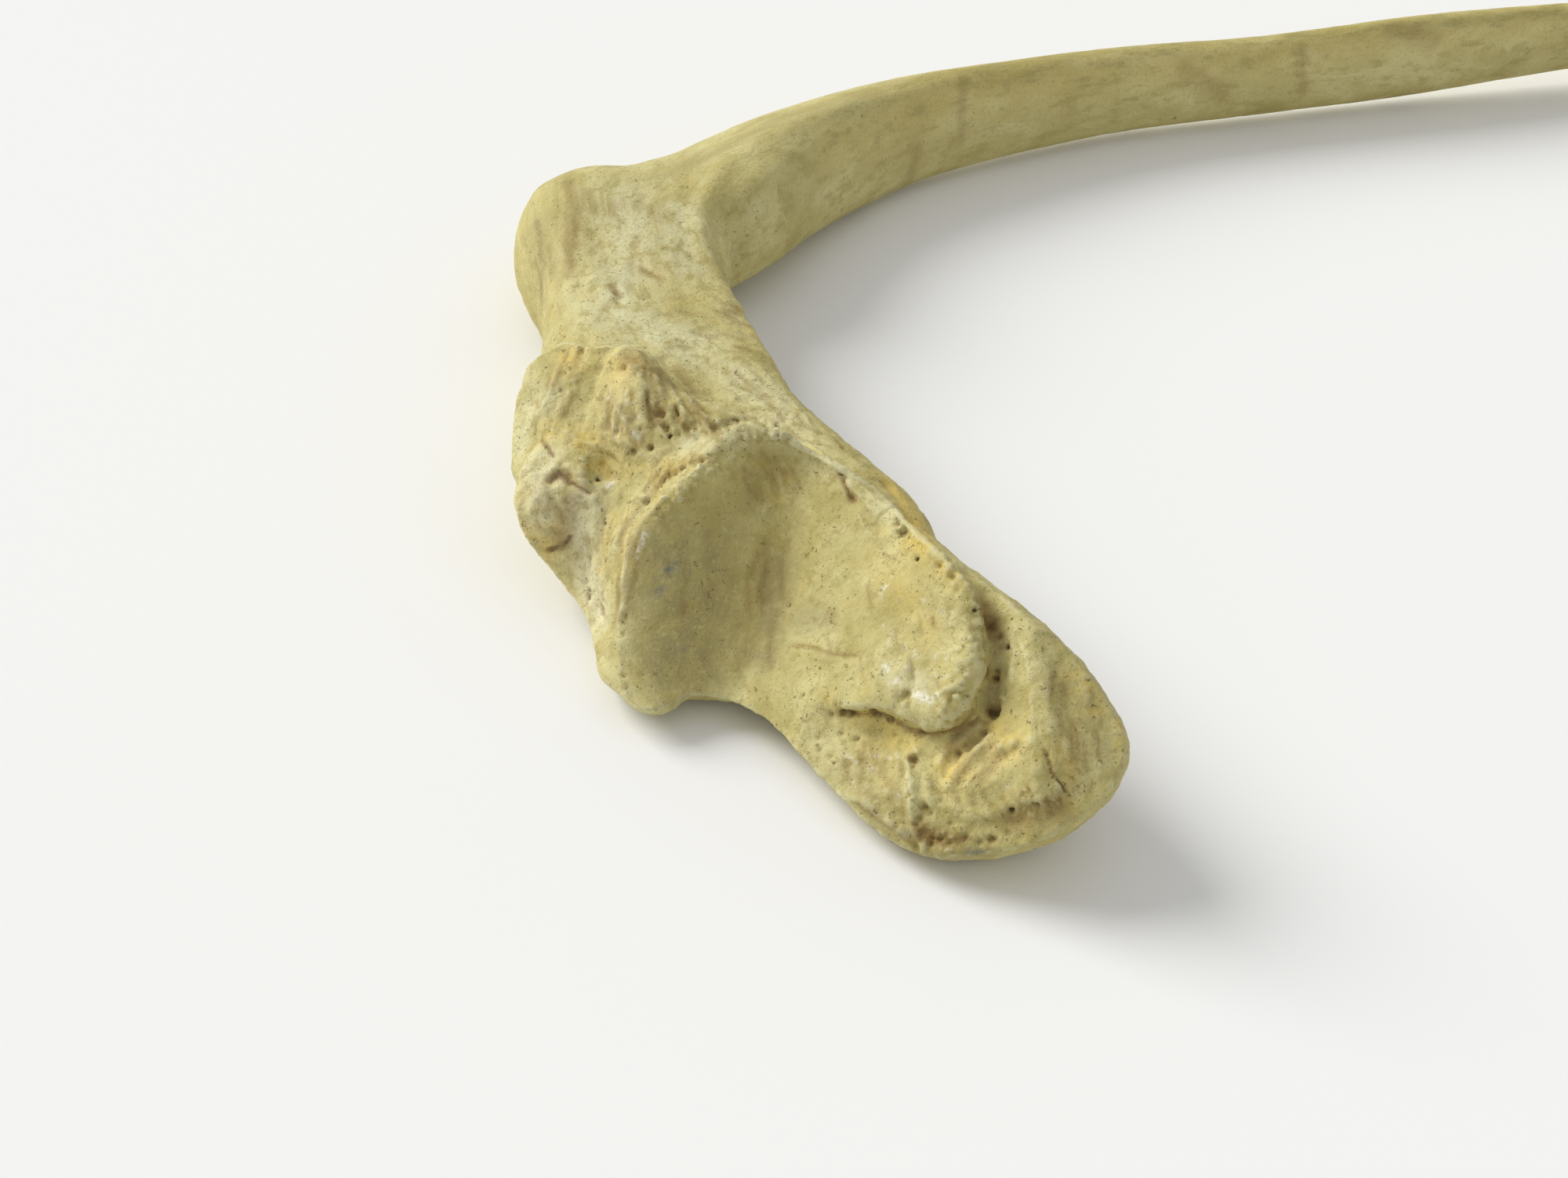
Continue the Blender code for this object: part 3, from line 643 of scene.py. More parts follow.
# Small holes: x, y, radius mm, depth mm
holes = {
    "ofTheFacetEdge": (
        (845, 612, 0.8, 0.9), (853, 606, 0.7, 0.8), (862, 601, 0.8, 0.9), (872, 596, 0.7, 0.8),
        (866, 590, 0.6, 0.6), (881, 590, 0.8, 0.8), (889, 594, 0.7, 0.7), (895, 586, 0.8, 0.9),
        (905, 584, 0.7, 0.7), (838, 621, 0.7, 0.8), (832, 629, 0.6, 0.7), (826, 640, 0.7, 0.7),
        (819, 652, 0.6, 0.6), (878, 602, 0.6, 0.6), (858, 614, 0.6, 0.6),
    ),
    "ofTheUpperRim": (
        (912, 547, 1.0, 0.9), (928, 540, 1.2, 1.0), (941, 537, 0.8, 0.7), (952, 534, 0.8, 0.7),
        (965, 536, 1.0, 0.9), (976, 540, 1.0, 0.8), (992, 543, 0.8, 0.7), (1006, 561, 0.7, 0.8),
        (902, 552, 0.7, 0.6), (1144, 667, 0.7, 0.9), (1151, 678, 0.8, 1.0), (1197, 721, 0.7, 0.8),
        (1214, 733, 0.9, 1.0), (1221, 751, 0.7, 0.8), (1075, 572, 0.6, 0.6),
    ),
    "ofTheTubercle": (
        (807, 575, 0.9, 1.3), (829, 571, 0.9, 1.3), (838, 526, 0.7, 0.9), (844, 528, 0.7, 0.9),
        (817, 547, 0.6, 0.6), (742, 448, 0.8, 0.8), (719, 475, 0.6, 0.6), (727, 492, 0.6, 0.6),
        (714, 497, 0.6, 0.6), (851, 548, 0.6, 0.6), (865, 553, 0.6, 0.6), (878, 546, 0.6, 0.6),
        (758, 560, 0.6, 0.5), (780, 487, 0.6, 0.6), (772, 549, 0.6, 0.5),
    ),
    "underTheLip": (
        (1085, 910, 1.1, 1.4), (1094, 910, 0.8, 0.8), (1114, 909, 1.1, 1.5), (1121, 912, 0.8, 1.0),
        (1074, 909, 0.9, 0.9), (1060, 911, 0.7, 0.7), (1135, 917, 0.9, 0.8), (1178, 934, 0.9, 0.8),
        (1208, 921, 0.7, 0.7), (1228, 885, 0.8, 0.7), (1216, 893, 0.9, 0.9), (1157, 884, 0.8, 0.8),
        (1152, 890, 0.7, 0.8), (1240, 845, 0.7, 0.7), (1246, 815, 0.6, 0.6),
    ),
    "ofTheGroove": (
        (1259, 859, 0.9, 1.6), (1270, 865, 0.7, 1.2), (1272, 855, 0.7, 0.9), (1267, 907, 1.3, 1.8),
        (1258, 790, 1.2, 1.0), (1265, 800, 1.0, 0.9), (1275, 812, 0.8, 0.7), (1282, 880, 0.6, 0.6),
        (1222, 960, 0.8, 0.9), (1255, 934, 0.6, 0.6),
    ),
    "ofTheHead": (
        (1166, 967, 0.8, 1.2), (1166, 975, 0.6, 0.8), (1045, 955, 0.6, 0.7), (1059, 964, 0.6, 0.7),
        (1043, 940, 0.6, 0.6), (1073, 935, 0.6, 0.6), (1094, 942, 0.6, 0.6), (1102, 970, 0.5, 0.5),
        (1185, 1067, 0.9, 1.1), (1192, 1070, 0.9, 1.1), (1199, 1071, 0.8, 1.0), (1188, 1076, 0.7, 0.8),
        (1211, 1074, 0.7, 0.8), (1180, 1030, 1.0, 0.9), (1187, 1036, 0.8, 0.8), (1174, 1044, 0.8, 0.8),
        (1265, 1070, 0.8, 0.9), (1250, 1074, 0.7, 0.7), (1305, 1015, 0.6, 0.6), (1322, 1026, 0.6, 0.6),
        (1230, 1068, 0.7, 0.8), (1168, 1052, 0.7, 0.7), (1159, 1014, 0.6, 0.6), (1128, 1040, 0.6, 0.6),
        (1143, 1054, 0.6, 0.6), (1200, 1022, 0.7, 0.6), (1212, 1050, 0.7, 0.7), (1285, 1062, 0.7, 0.7),
    ),
    "elsewhere": (
        (786, 374, 0.9, 0.8), (753, 752, 0.6, 0.8), (752, 763, 0.6, 0.8), (768, 774, 0.7, 0.9),
        (770, 783, 0.6, 0.8), (774, 722, 0.5, 0.5), (795, 862, 0.6, 0.6), (798, 876, 0.7, 0.7),
        (820, 860, 0.5, 0.4), (853, 718, 0.5, 0.3), (862, 414, 0.5, 0.4), (705, 636, 0.6, 0.6),
        (690, 641, 0.5, 0.5), (716, 592, 0.6, 0.6),
    ),
}

# Bundles of fine streaks, every other one a groove with brown in it: how many, share of the way that
# each one runs, radius mm, height mm, strength of the brown, line where they start, line where they end
fibres = {
    "tubercleFlank": (42, 0.36, 0.8, 0.32, 0.6, (815, 480, 880, 500), (835, 560, 930, 558)),
    "tubercleFront": (22, 0.35, 0.8, 0.28, 0.5, (772, 480, 812, 488), (762, 590, 820, 580)),
    "leftMound": (16, 0.4, 1.0, 0.2, 0.35, (702, 458, 745, 450), (662, 570, 715, 560)),
    "knobSide": (12, 0.35, 0.9, 0.2, 0.4, (668, 590, 700, 585), (682, 690, 722, 702)),
    "knobMiddle": (10, 0.4, 0.8, 0.2, 0.5, (722, 600, 735, 640), (745, 600, 752, 650)),
    "channel": (22, 0.45, 0.9, 0.22, 0.3, (735, 640, 796, 645), (752, 800, 786, 815)),
    "rimBand": (10, 0.5, 0.9, 0.25, 0.5, (806, 640, 832, 655), (784, 800, 794, 800)),
    "rimTop": (12, 0.4, 0.9, 0.25, 0.45, (850, 575, 895, 562), (800, 645, 815, 655)),
    "upperRim": (19, 0.6, 1.0, 0.18, 0.45, (898, 536, 1010, 545), (900, 560, 1012, 566)),
    "fossa": (16, 0.4, 1.1, 0.15, 0.3, (930, 570, 1000, 575), (960, 640, 1030, 640)),
    "valley": (16, 0.3, 1.2, 0.14, 0.35, (955, 660, 1010, 680), (925, 880, 990, 870)),
    "pocket": (14, 0.12, 1.0, 0.08, 0.3, (830, 700, 930, 680), (810, 880, 900, 870)),
    "lobe": (18, 0.14, 0.8, 0.15, 0.4, (1020, 720, 1185, 740), (1060, 880, 1205, 870)),
    "crust": (22, 0.25, 0.9, 0.15, 0.3, (1130, 852, 1205, 858), (1140, 900, 1222, 900)),
    "lip": (13, 0.5, 1.1, 0.2, 0.35, (1236, 752, 1240, 872), (1256, 750, 1258, 875)),
    "grooveWall": (10, 0.7, 1.1, 0.3, 0.5, (1238, 912, 1262, 922), (1196, 956, 1220, 985)),
    "oval": (8, 0.7, 1.3, 0.35, 0.4, (1264, 926, 1304, 952), (1206, 990, 1238, 1012)),
    "ovalFoot": (12, 0.5, 1.0, 0.2, 0.4, (1180, 1000, 1300, 1010), (1200, 1040, 1310, 1030)),
    "lowerFace": (22, 0.3, 1.0, 0.2, 0.3, (1060, 925, 1150, 945), (1085, 1010, 1160, 1062)),
    "bottomEdge": (8, 0.6, 1.2, 0.4, 0.4, (1066, 1008, 1084, 996), (1176, 1088, 1188, 1072)),
    "flank": (22, 0.3, 1.0, 0.2, 0.35, (1335, 850, 1402, 868), (1330, 1010, 1412, 985)),
    "flankScratches": (16, 0.4, 0.7, 0.35, 0.8, (1298, 1010, 1352, 1000), (1292, 1050, 1358, 1036)),
    "webStreaks": (44, 0.13, 1.6, 0.12, 0.25, (735, 232, 862, 250), (728, 380, 880, 372)),
    "webEdge": (16, 0.2, 1.5, 0.15, 0.5, (722, 235, 736, 235), (716, 370, 734, 366)),
    "webFoot": (22, 0.18, 1.6, 0.15, 0.45, (850, 360, 856, 440), (950, 392, 990, 470)),
    "neck": (22, 0.25, 1.1, 0.2, 0.4, (925, 430, 900, 505), (1100, 590, 1060, 600)),
    "angleSide": (12, 0.3, 1.4, 0.15, 0.3, (668, 265, 712, 245), (690, 425, 720, 430)),
}


# Crumbly crust, as beads strewn between two lines: how many, radius mm, height mm, the two lines
beadShare = 0.02    # of the way between its lines, for each bead
beads = {
    "facetEdge": (60, 0.85, 0.5, (900, 562, 808, 640), (918, 592, 838, 664)),
    "upperRim": (34, 0.8, 0.4, (905, 534, 1010, 545), (905, 558, 1010, 566)),
    "lip": (36, 0.8, 0.45, (1228, 800, 1190, 905), (1252, 815, 1216, 925)),
    "bottom": (26, 0.8, 0.5, (1162, 1050, 1215, 1062), (1165, 1080, 1215, 1086)),
    "tubercle": (18, 0.8, 0.35, (785, 450, 845, 460), (790, 478, 850, 480)),
}


def streaks(count, share, start, end, seed):
    # streaks lie at random between the two lines, every one slightly bent
    chance = np.random.default_rng(seed)
    start, end = np.array(start, float).reshape(2, 2), np.array(end, float).reshape(2, 2)
    made = []
    for k in range(count):
        side = (k + chance.uniform(0.1, 0.9)) / count
        first = start[0] + (start[1] - start[0]) * side
        way = end[0] + (end[1] - end[0]) * side - first
        long = share * chance.uniform(0.6, 1.4)
        begin = chance.uniform(0, max(0.0, 1 - long))
        bend = np.array([-way[1], way[0]]) * chance.uniform(-0.12, 0.12) * long
        spots = (first + way * begin, first + way * (begin + long / 2) + bend,
                 first + way * min(1, begin + long))
        made.append(tuple(np.concatenate(spots)))
    return made


def layFibres(sculpture):
    # presses the bundles in, and gives back the brown strokes that go with the grooves
    brown = []
    for seed, (count, share, radius, height, stain, start, end) in enumerate(fibres.values()):
        chance = np.random.default_rng(100 + seed)
        for k, pixels in enumerate(streaks(count, share, start, end, seed)):
            strength = chance.uniform(0.5, 1.3)
            if k % 2:
                sculpture.press([(radius, -height * strength, "crease", pixels)])
                brown.append((radius, min(1.0, stain * strength), pixels))
            else:
                sculpture.press([(radius * 1.3, height * strength, "round", pixels)])
    return brown


# The far end, where cartilage sat: a shallow rough pit inside a rounded edge
farEnd = {
    "middle": (557, 500, 13.0),    # mm, from the low corner of the box
    "facing": (0.93, 0.36, 0.0),
    "halfWidth": 7.0,              # mm
    "halfHeight": 12.0,
    "reach": 20.0,                 # mm before and behind the middle
    "pit": 2.4,
}


def shapeEnd(sculpture):
    out = np.array(farEnd["facing"])
    out /= np.linalg.norm(out)
    across = np.cross((0, 0, 1), out)
    offset = (sculpture.points - np.array(cadLow)) / mm - np.array(farEnd["middle"])
    q = np.hypot(offset @ across / farEnd["halfWidth"], offset[:, 2] / farEnd["halfHeight"])
    depth = np.clip(1 - q, 0, 1) ** 0.8 * np.clip(sculpture.normals @ out * 2 - 0.6, 0, 1)
    depth[np.abs(offset @ out) > farEnd["reach"]] = 0
    sculpture.points -= out * (sculpture.softened(depth, 3) * farEnd["pit"] * mm)[:, None]
    sculpture.write()
    return depth


sculpture = Sculpture(surface)
shapeFace(sculpture)
endDepth = shapeEnd(sculpture)
for part in strokes.values():
    sculpture.press(part)
fibreBrown = layFibres(sculpture)
sculpture.write()
for seed, (count, radius, height, start, end) in enumerate(beads.values(), 60):
    dots = streaks(count, beadShare, start, end, seed)
    sculpture.press([(radius, height, "round", pixels) for pixels in dots])
for part in holes.values():    # half as wide again, because a round stroke fades out
    sculpture.press([(radius * 1.5, -depth, "round", (x, y)) for x, y, radius, depth in part])
sculpture.write()
print("fine forms pressed")

# Tints and textures, painted, with painted shade and painted highlight among them: radius mm, strength,
# pixels
paint = {
    "ochre": (
        (10, 1.0, (800, 470, 795, 510, 800, 550)), (7, 0.8, (735, 455)), (7, 0.7, (700, 560, 690, 600)),
        (11, 1.0, (690, 625, 700, 690)), (6, 1.0, (768, 595)), (5, 0.8, (745, 560, 775, 572, 800, 590)),
        (5, 0.5, (845, 600, 880, 590)), (5, 0.7, (1195, 715, 1220, 735)),
        (7, 0.35, (1130, 720, 1180, 800)), (7, 0.9, (1215, 985, 1240, 965, 1280, 948)),
        (5, 0.6, (1262, 925, 1285, 940)), (8, 0.4, (1100, 930, 1120, 1000)),
        (5, 0.6, (1085, 915, 1120, 920, 1160, 940)), (6, 0.5, (1360, 965)),
        (8, 0.4, (780, 300, 830, 350)), (8, 0.8, (1140, 620, 1165, 665, 1180, 690)),
        (14, 0.3, (1060, 190, 1250, 120, 1500, 80, 1800, 45, 1990, 25)),
        (10, 0.6, (735, 660, 740, 720, 755, 770)), (3, 0.9, (795, 730, 805, 690, 832, 655, 862, 628)),
        (3, 0.6, (772, 700, 778, 660)),
    ),
    "brown": (
        (1.4, 1, (702, 612, 712, 604, 724, 610)), (0.9, 1, (722, 614, 738, 619, 752, 630)),
        (1.0, 1, (700, 701, 712, 698, 722, 692, 727, 684)), (0.8, 0.9, (690, 560, 698, 570, 706, 582)),
        (5, 0.5, (800, 455, 830, 470, 850, 490)), (1.2, 0.8, (825, 500, 826, 515, 834, 528)),
        (1.2, 0.6, (722, 450, 715, 470, 705, 490)), (1.5, 0.6, (742, 445)), (1.2, 0.5, (728, 478)),
        # the strokes along and under the lip's overhang, and the broad one by the lip's top, lay painted
        # shadow in brown, besides stain in the pits
        (0.9, 0.7, (1075, 909, 1100, 909, 1128, 911)),
        (0.9, 0.9, (1128, 911, 1145, 922, 1165, 931, 1195, 934, 1225, 926, 1240, 908)),
        (4, 0.6, (1255, 775, 1262, 800)), (1.5, 0.9, (1258, 858)), (1.5, 1, (1267, 907)),
        (1.2, 0.7, (1277, 825)), (2, 0.6, (1270, 865)), (3, 0.8, (1172, 1058, 1190, 1068, 1203, 1072)),
        (1.5, 0.8, (1217, 1070, 1230, 1070)), (1.5, 0.7, (1267, 1070)),
        (1.5, 0.8, (1160, 965, 1168, 970)), (1.2, 0.7, (1160, 1013)), (0.6, 1, (1303, 1015, 1305, 1010)),
        (0.6, 1, (1311, 1003, 1313, 1009)), (0.7, 1, (1330, 1027, 1335, 1020, 1345, 1023)),
        (0.6, 1, (1333, 957, 1343, 987, 1353, 1000, 1363, 1013)),
        (4, 0.5, (1290, 1045, 1320, 1040, 1350, 1030)),
        (0.8, 0.5, (1012, 823, 1040, 826, 1060, 834, 1090, 836)),
        (1.0, 1, (1072, 605, 1077, 615, 1083, 630, 1088, 638)),
        (1.6, 0.6, (905, 583, 880, 592, 860, 602, 840, 615)), (1.2, 0.5, (826, 632, 812, 650, 800, 675)),
        (1.2, 0.6, (800, 662, 790, 690)), (3.5, 0.5, (728, 636, 724, 660, 718, 690)),
        (2.5, 0.5, (862, 470, 885, 500)), (2, 0.5, (735, 455, 728, 480)),
        (2.4, 0.4, (724, 232, 732, 262, 730, 300, 722, 350)), (5, 0.3, (1510, 85, 1560, 120)),
        (6, 0.3, (1780, 35, 1830, 50)), (3, 0.3, (1228, 100, 1226, 180)), (3, 0.3, (1660, 60, 1662, 120)),
        (4, 0.3, (1170, 190, 1160, 230)), (2.0, 0.6, (820, 345, 838, 355)),
        (1.6, 0.7, (778, 364, 790, 378)), (1.4, 0.4, (790, 378, 770, 392, 762, 410)),
        (0.8, 1, (752, 754, 753, 764)), (0.8, 1, (767, 770, 770, 782)), (1.4, 0.8, (807, 575)),
        (1.4, 0.8, (831, 572)), (2.4, 0.5, (930, 541, 938, 539)), (1.6, 0.5, (1060, 500, 1080, 520)),
    ),
    # grey: the joint face's own grey tone, and painted shade where the pocket, the valley, the groove by
    # the lip, the right flank and the underside turn from the light
    "grey": (
        (13, 0.9, (860, 700, 860, 780, 850, 860)), (11, 0.8, (910, 690, 905, 780, 890, 850)),
        (7, 0.2, (940, 590, 975, 580)), (6, 0.5, (960, 640)), (7, 0.8, (988, 730, 975, 830)),
        (5, 0.6, (1025, 790, 1055, 790)), (5, 0.8, (1265, 800, 1275, 860, 1262, 900)),
        (4, 0.6, (1220, 940, 1240, 925)), (5, 0.6, (1170, 1045, 1200, 1060)),
        (9, 0.3, (1345, 860, 1375, 920, 1370, 980)), (9, 0.2, (1390, 900, 1400, 960)),
        (6, 0.9, (1190, 1086, 1245, 1086)), (4, 0.5, (1100, 1045, 1150, 1080)),
        (3, 0.4, (780, 515, 785, 540)), (7, 0.4, (850, 225, 920, 190, 1010, 150, 1120, 120)),
        (9, 0.4, (690, 290, 690, 350)),
    ),
    # pale: some of the bone's own pale tone, and painted highlight on the rim's crest, the knob, the
    # channel and the lit top edge of the shaft
    "pale": (
        (2.5, 0.3, (800, 850, 795, 780, 800, 710, 825, 660)), (9, 1.0, (742, 650, 747, 720, 767, 780)),
        (6, 0.7, (880, 565, 940, 550)), (5, 0.6, (1000, 560, 1060, 590, 1110, 630, 1150, 665)),
        (6, 0.7, (700, 500, 675, 530, 665, 570)), (9, 0.4, (1060, 940, 1100, 990, 1140, 1030)),
        (12, 0.5, (800, 500, 800, 550)), (9, 1.0, (690, 650, 690, 590)), (8, 0.4, (1250, 965)),
        (14, 0.12, (930, 300, 1060, 210, 1250, 150, 1500, 115, 1800, 75, 1980, 50)),
        (6, 0.6, (1170, 880, 1140, 860)), (1.2, 1, (1130, 850)), (1.2, 1, (1140, 870)),
        (1.7, 1, (1165, 885, 1185, 893)), (1.2, 1, (1195, 887)), (0.9, 1, (1203, 779)),
        (0.9, 1, (1128, 749)), (1.1, 1, (778, 618)), (0.8, 1, (776, 507)), (0.8, 1, (798, 511)),
        (0.8, 0.9, (805, 550, 812, 560, 816, 552)), (14, 0.9, (790, 250, 800, 330, 790, 400, 880, 440)),
        (10, 0.8, (860, 270, 870, 340)), (10, 0.7, (930, 470, 990, 530)), (9, 0.5, (985, 500, 1030, 560)),
    ),
    # painted shade: darkens faces that turn away from the light, on the facet floor, the lobe's top, the
    # head's underside, the tubercle's right side, the shaft's edges and the angle
    "dark": (
        (16, 0.6, (1050, 690, 1060, 640)), (9, 0.6, (1190, 735, 1215, 770)),
        (12, 1.0, (1180, 1066, 1240, 1058, 1300, 1044)), (12, 0.4, (1090, 990, 1130, 1020)),
        (5, 0.7, (860, 212, 940, 185, 1050, 140)), (9, 0.4, (760, 290, 800, 240)),
        (9, 0.8, (860, 660, 890, 640, 930, 640)),
        (4, 1.0, (1080, 122, 1250, 88, 1450, 62, 1700, 38, 1990, 10)),
        (5, 0.5, (850, 480, 875, 515, 905, 530)), (8, 0.4, (690, 290, 690, 340)),
    ),
    "porous": (
        (2.2, 1, (905, 583, 880, 592, 858, 605, 838, 622, 822, 648)),
        (2, 0.8, (912, 547, 940, 537, 975, 540, 1005, 560)), (2, 0.6, (1140, 662, 1155, 685)),
        (2.5, 0.8, (1195, 715, 1220, 740)), (2.5, 0.9, (1240, 770, 1250, 800, 1250, 845, 1235, 885)),
        (4, 0.5, (1060, 925, 1100, 930, 1150, 945)), (3, 0.9, (1165, 1050, 1190, 1070, 1230, 1072)),
        (3.5, 0.8, (1300, 1035, 1345, 1028)), (4, 0.7, (1270, 820, 1275, 870)),
        (4, 0.7, (790, 465, 820, 460, 845, 480)), (3, 0.5, (850, 560, 900, 560)), (3, 0.4, (725, 475)),
        (2, 0.7, (1160, 960, 1163, 1010, 1168, 1050)), (3, 0.3, (690, 620)), (4, 0.3, (800, 870)),
    ),
    "slate": (
        (1.1, 0.9, (850, 729, 856, 725, 862, 720)), (0.9, 0.8, (828, 760, 836, 755, 845, 750)),
        (1.0, 0.5, (868, 826, 874, 829)), (1.6, 0.6, (1234, 1087, 1250, 1088)),
        (0.8, 0.5, (800, 877, 803, 882)), (1.2, 0.4, (1150, 1061, 1160, 1064)),
    ),
    "chalk": (
        (1.3, 0.9, (1166, 884, 1186, 892)), (1.0, 0.9, (1128, 850, 1130, 856)), (0.9, 0.9, (1141, 868)),
        (0.9, 0.8, (1196, 887)), (0.8, 0.9, (1203, 779)), (0.7, 0.9, (1128, 749)),
        (1.1, 0.9, (776, 620, 781, 615)), (0.8, 0.9, (776, 507)), (0.7, 0.9, (798, 511)),
        (0.7, 0.8, (806, 551, 813, 560, 816, 553)), (0.8, 0.7, (1176, 920)), (0.8, 0.7, (1120, 962)),
        (0.6, 0.8, (824, 676, 819, 692, 812, 708)), (0.6, 0.6, (1284, 1003)),
        # these two broad faint strokes whiten the channel and the knob: painted highlight
        (9, 0.16, (742, 650, 747, 720, 767, 780)), (11, 0.1, (690, 620, 700, 690)),
    ),
    "smooth": (
        (13, 1, (860, 690, 850, 780, 850, 860)), (13, 1, (930, 640, 930, 780, 920, 850)),
        (12, 1, (1000, 690, 1000, 860)), (12, 0.9, (1080, 700, 1100, 850)),
        (10, 0.7, (1160, 740, 1180, 850)), (5, 0.8, (820, 760, 820, 860)),
    ),
}

# White flecks strewn between two lines: how many, radius mm, strength, the two lines
fleckShare = 0.04    # of the way between its lines, for each fleck
flecks = {
    "crust": (30, 0.45, 0.5, (1120, 845, 1206, 850), (1140, 903, 1222, 880)),
    "lobe": (14, 0.5, 0.6, (1120, 740, 1215, 760), (1110, 850, 1225, 850)),
    "face": (16, 0.5, 0.5, (1060, 930, 1150, 950), (1090, 1010, 1160, 1050)),
    "tubercle": (12, 0.5, 0.6, (775, 495, 812, 495), (775, 560, 825, 560)),
}

# The bone's length as seen from above, from past the head to past the far end, in mm from the
# low corner of its box. The grain follows it.
grainPath = (
    (150, -25), (80, 44.5), (65, 93), (44, 130), (36, 160), (44, 189), (56, 209.5), (73.6, 231.7),
    (95.4, 254), (142, 292), (240.5, 352), (354, 417), (474, 470), (620, 525),
)
grain = {
    "headEnds": 150,      # mm along the path
    "shaftBegins": 260,
    "stretch": 2.6,       # how much longer than wide the shaft's pattern is
    "shaftRough": 0.25,   # how rough the shaft is, where the head's roughness is 1
    "worked": 0.72,       # how much of the roughness a smooth joint face has lost
}


def keep(mesh, name, values):
    # stores a value, or a vector, for every point of a mesh
    kind = "FLOAT" if values.ndim == 1 else "FLOAT_VECTOR"
    layer = mesh.attributes.new(name, kind, "POINT")
    layer.data.foreach_set("value" if values.ndim == 1 else "vector", values.astype(np.float32).ravel())


def grainPlaces(points):
    # places along, across and above the path, the first shortened on the shaft to draw the grain out
    flat = (points - np.array(cadLow))[:, :2] / mm
    best = np.full(len(flat), 1e9)
    along = np.zeros(len(flat))
    across = np.zeros(len(flat))
    walked = 0.0
    for a, b in zip(grainPath, grainPath[1:]):
        a, b = np.array(a, float), np.array(b, float)
        length = np.linalg.norm(b - a)
        way = (b - a) / length
        t = np.clip((flat - a) @ way, 0, length)
        offset = flat - a - t[:, None] * way
        gap = np.linalg.norm(offset, axis=1)
        closer = gap < best
        best[closer] = gap[closer]
        along[closer] = (walked + t)[closer]
        across[closer] = (way[0] * offset[:, 1] - way[1] * offset[:, 0])[closer]
        walked += length
    steps = np.arange(0, walked + 1.0)
    rate = 1 / grain["stretch"]
    share = np.clip((steps - grain["headEnds"]) / (grain["shaftBegins"] - grain["headEnds"]), 0, 1)
    total = np.cumsum(1 + (rate - 1) * share)
    return np.c_[np.interp(along, steps, total) * mm, across * mm, points[:, 2]], along


places, along = grainPlaces(sculpture.points)
smoothness = sculpture.softened(sculpture.painted(paint["smooth"]), 8)
headness = np.clip((grain["shaftBegins"] - along) / (grain["shaftBegins"] - grain["headEnds"]), 0, 1)
rough = grain["shaftRough"] + (1 - grain["shaftRough"]) * headness
rough *= 1 - grain["worked"] * smoothness
fleckStrokes = []
for seed, (count, radius, strength, start, end) in enumerate(flecks.values(), 40):
    fleckStrokes += [(radius, strength, pixels) for pixels in streaks(count, fleckShare, start, end, seed)]
extra = {
    "brown": sculpture.painted(fibreBrown),
    "porous": np.clip(endDepth * 1.5, 0, 0.8),
    "chalk": sculpture.painted(fleckStrokes),
}
for name in ("ochre", "brown", "grey", "pale", "dark", "slate", "chalk", "porous"):
    keep(sculpture.mesh, name, np.maximum(sculpture.painted(paint[name]), extra.get(name, 0)))
keep(sculpture.mesh, "rough", rough)
keep(sculpture.mesh, "places", places)
print("tints painted")

skin = {
    "Lump size": 7.0 * mm,       # the slow unevenness
    "Lump height": 1.5 * mm,     # over the noise's whole range, of which about a third comes up
    "Grain size": 1.9 * mm,      # the fine one
    "Grain height": 0.8 * mm,
    "Pores per mm2": 0.11,       # where the bone is porous
    "Stray pores per mm2": 0.002,
    "Pore radius": 0.85 * mm,    # the largest
    "Pore depth": 0.9 * mm,
    "Seed": 7,
}


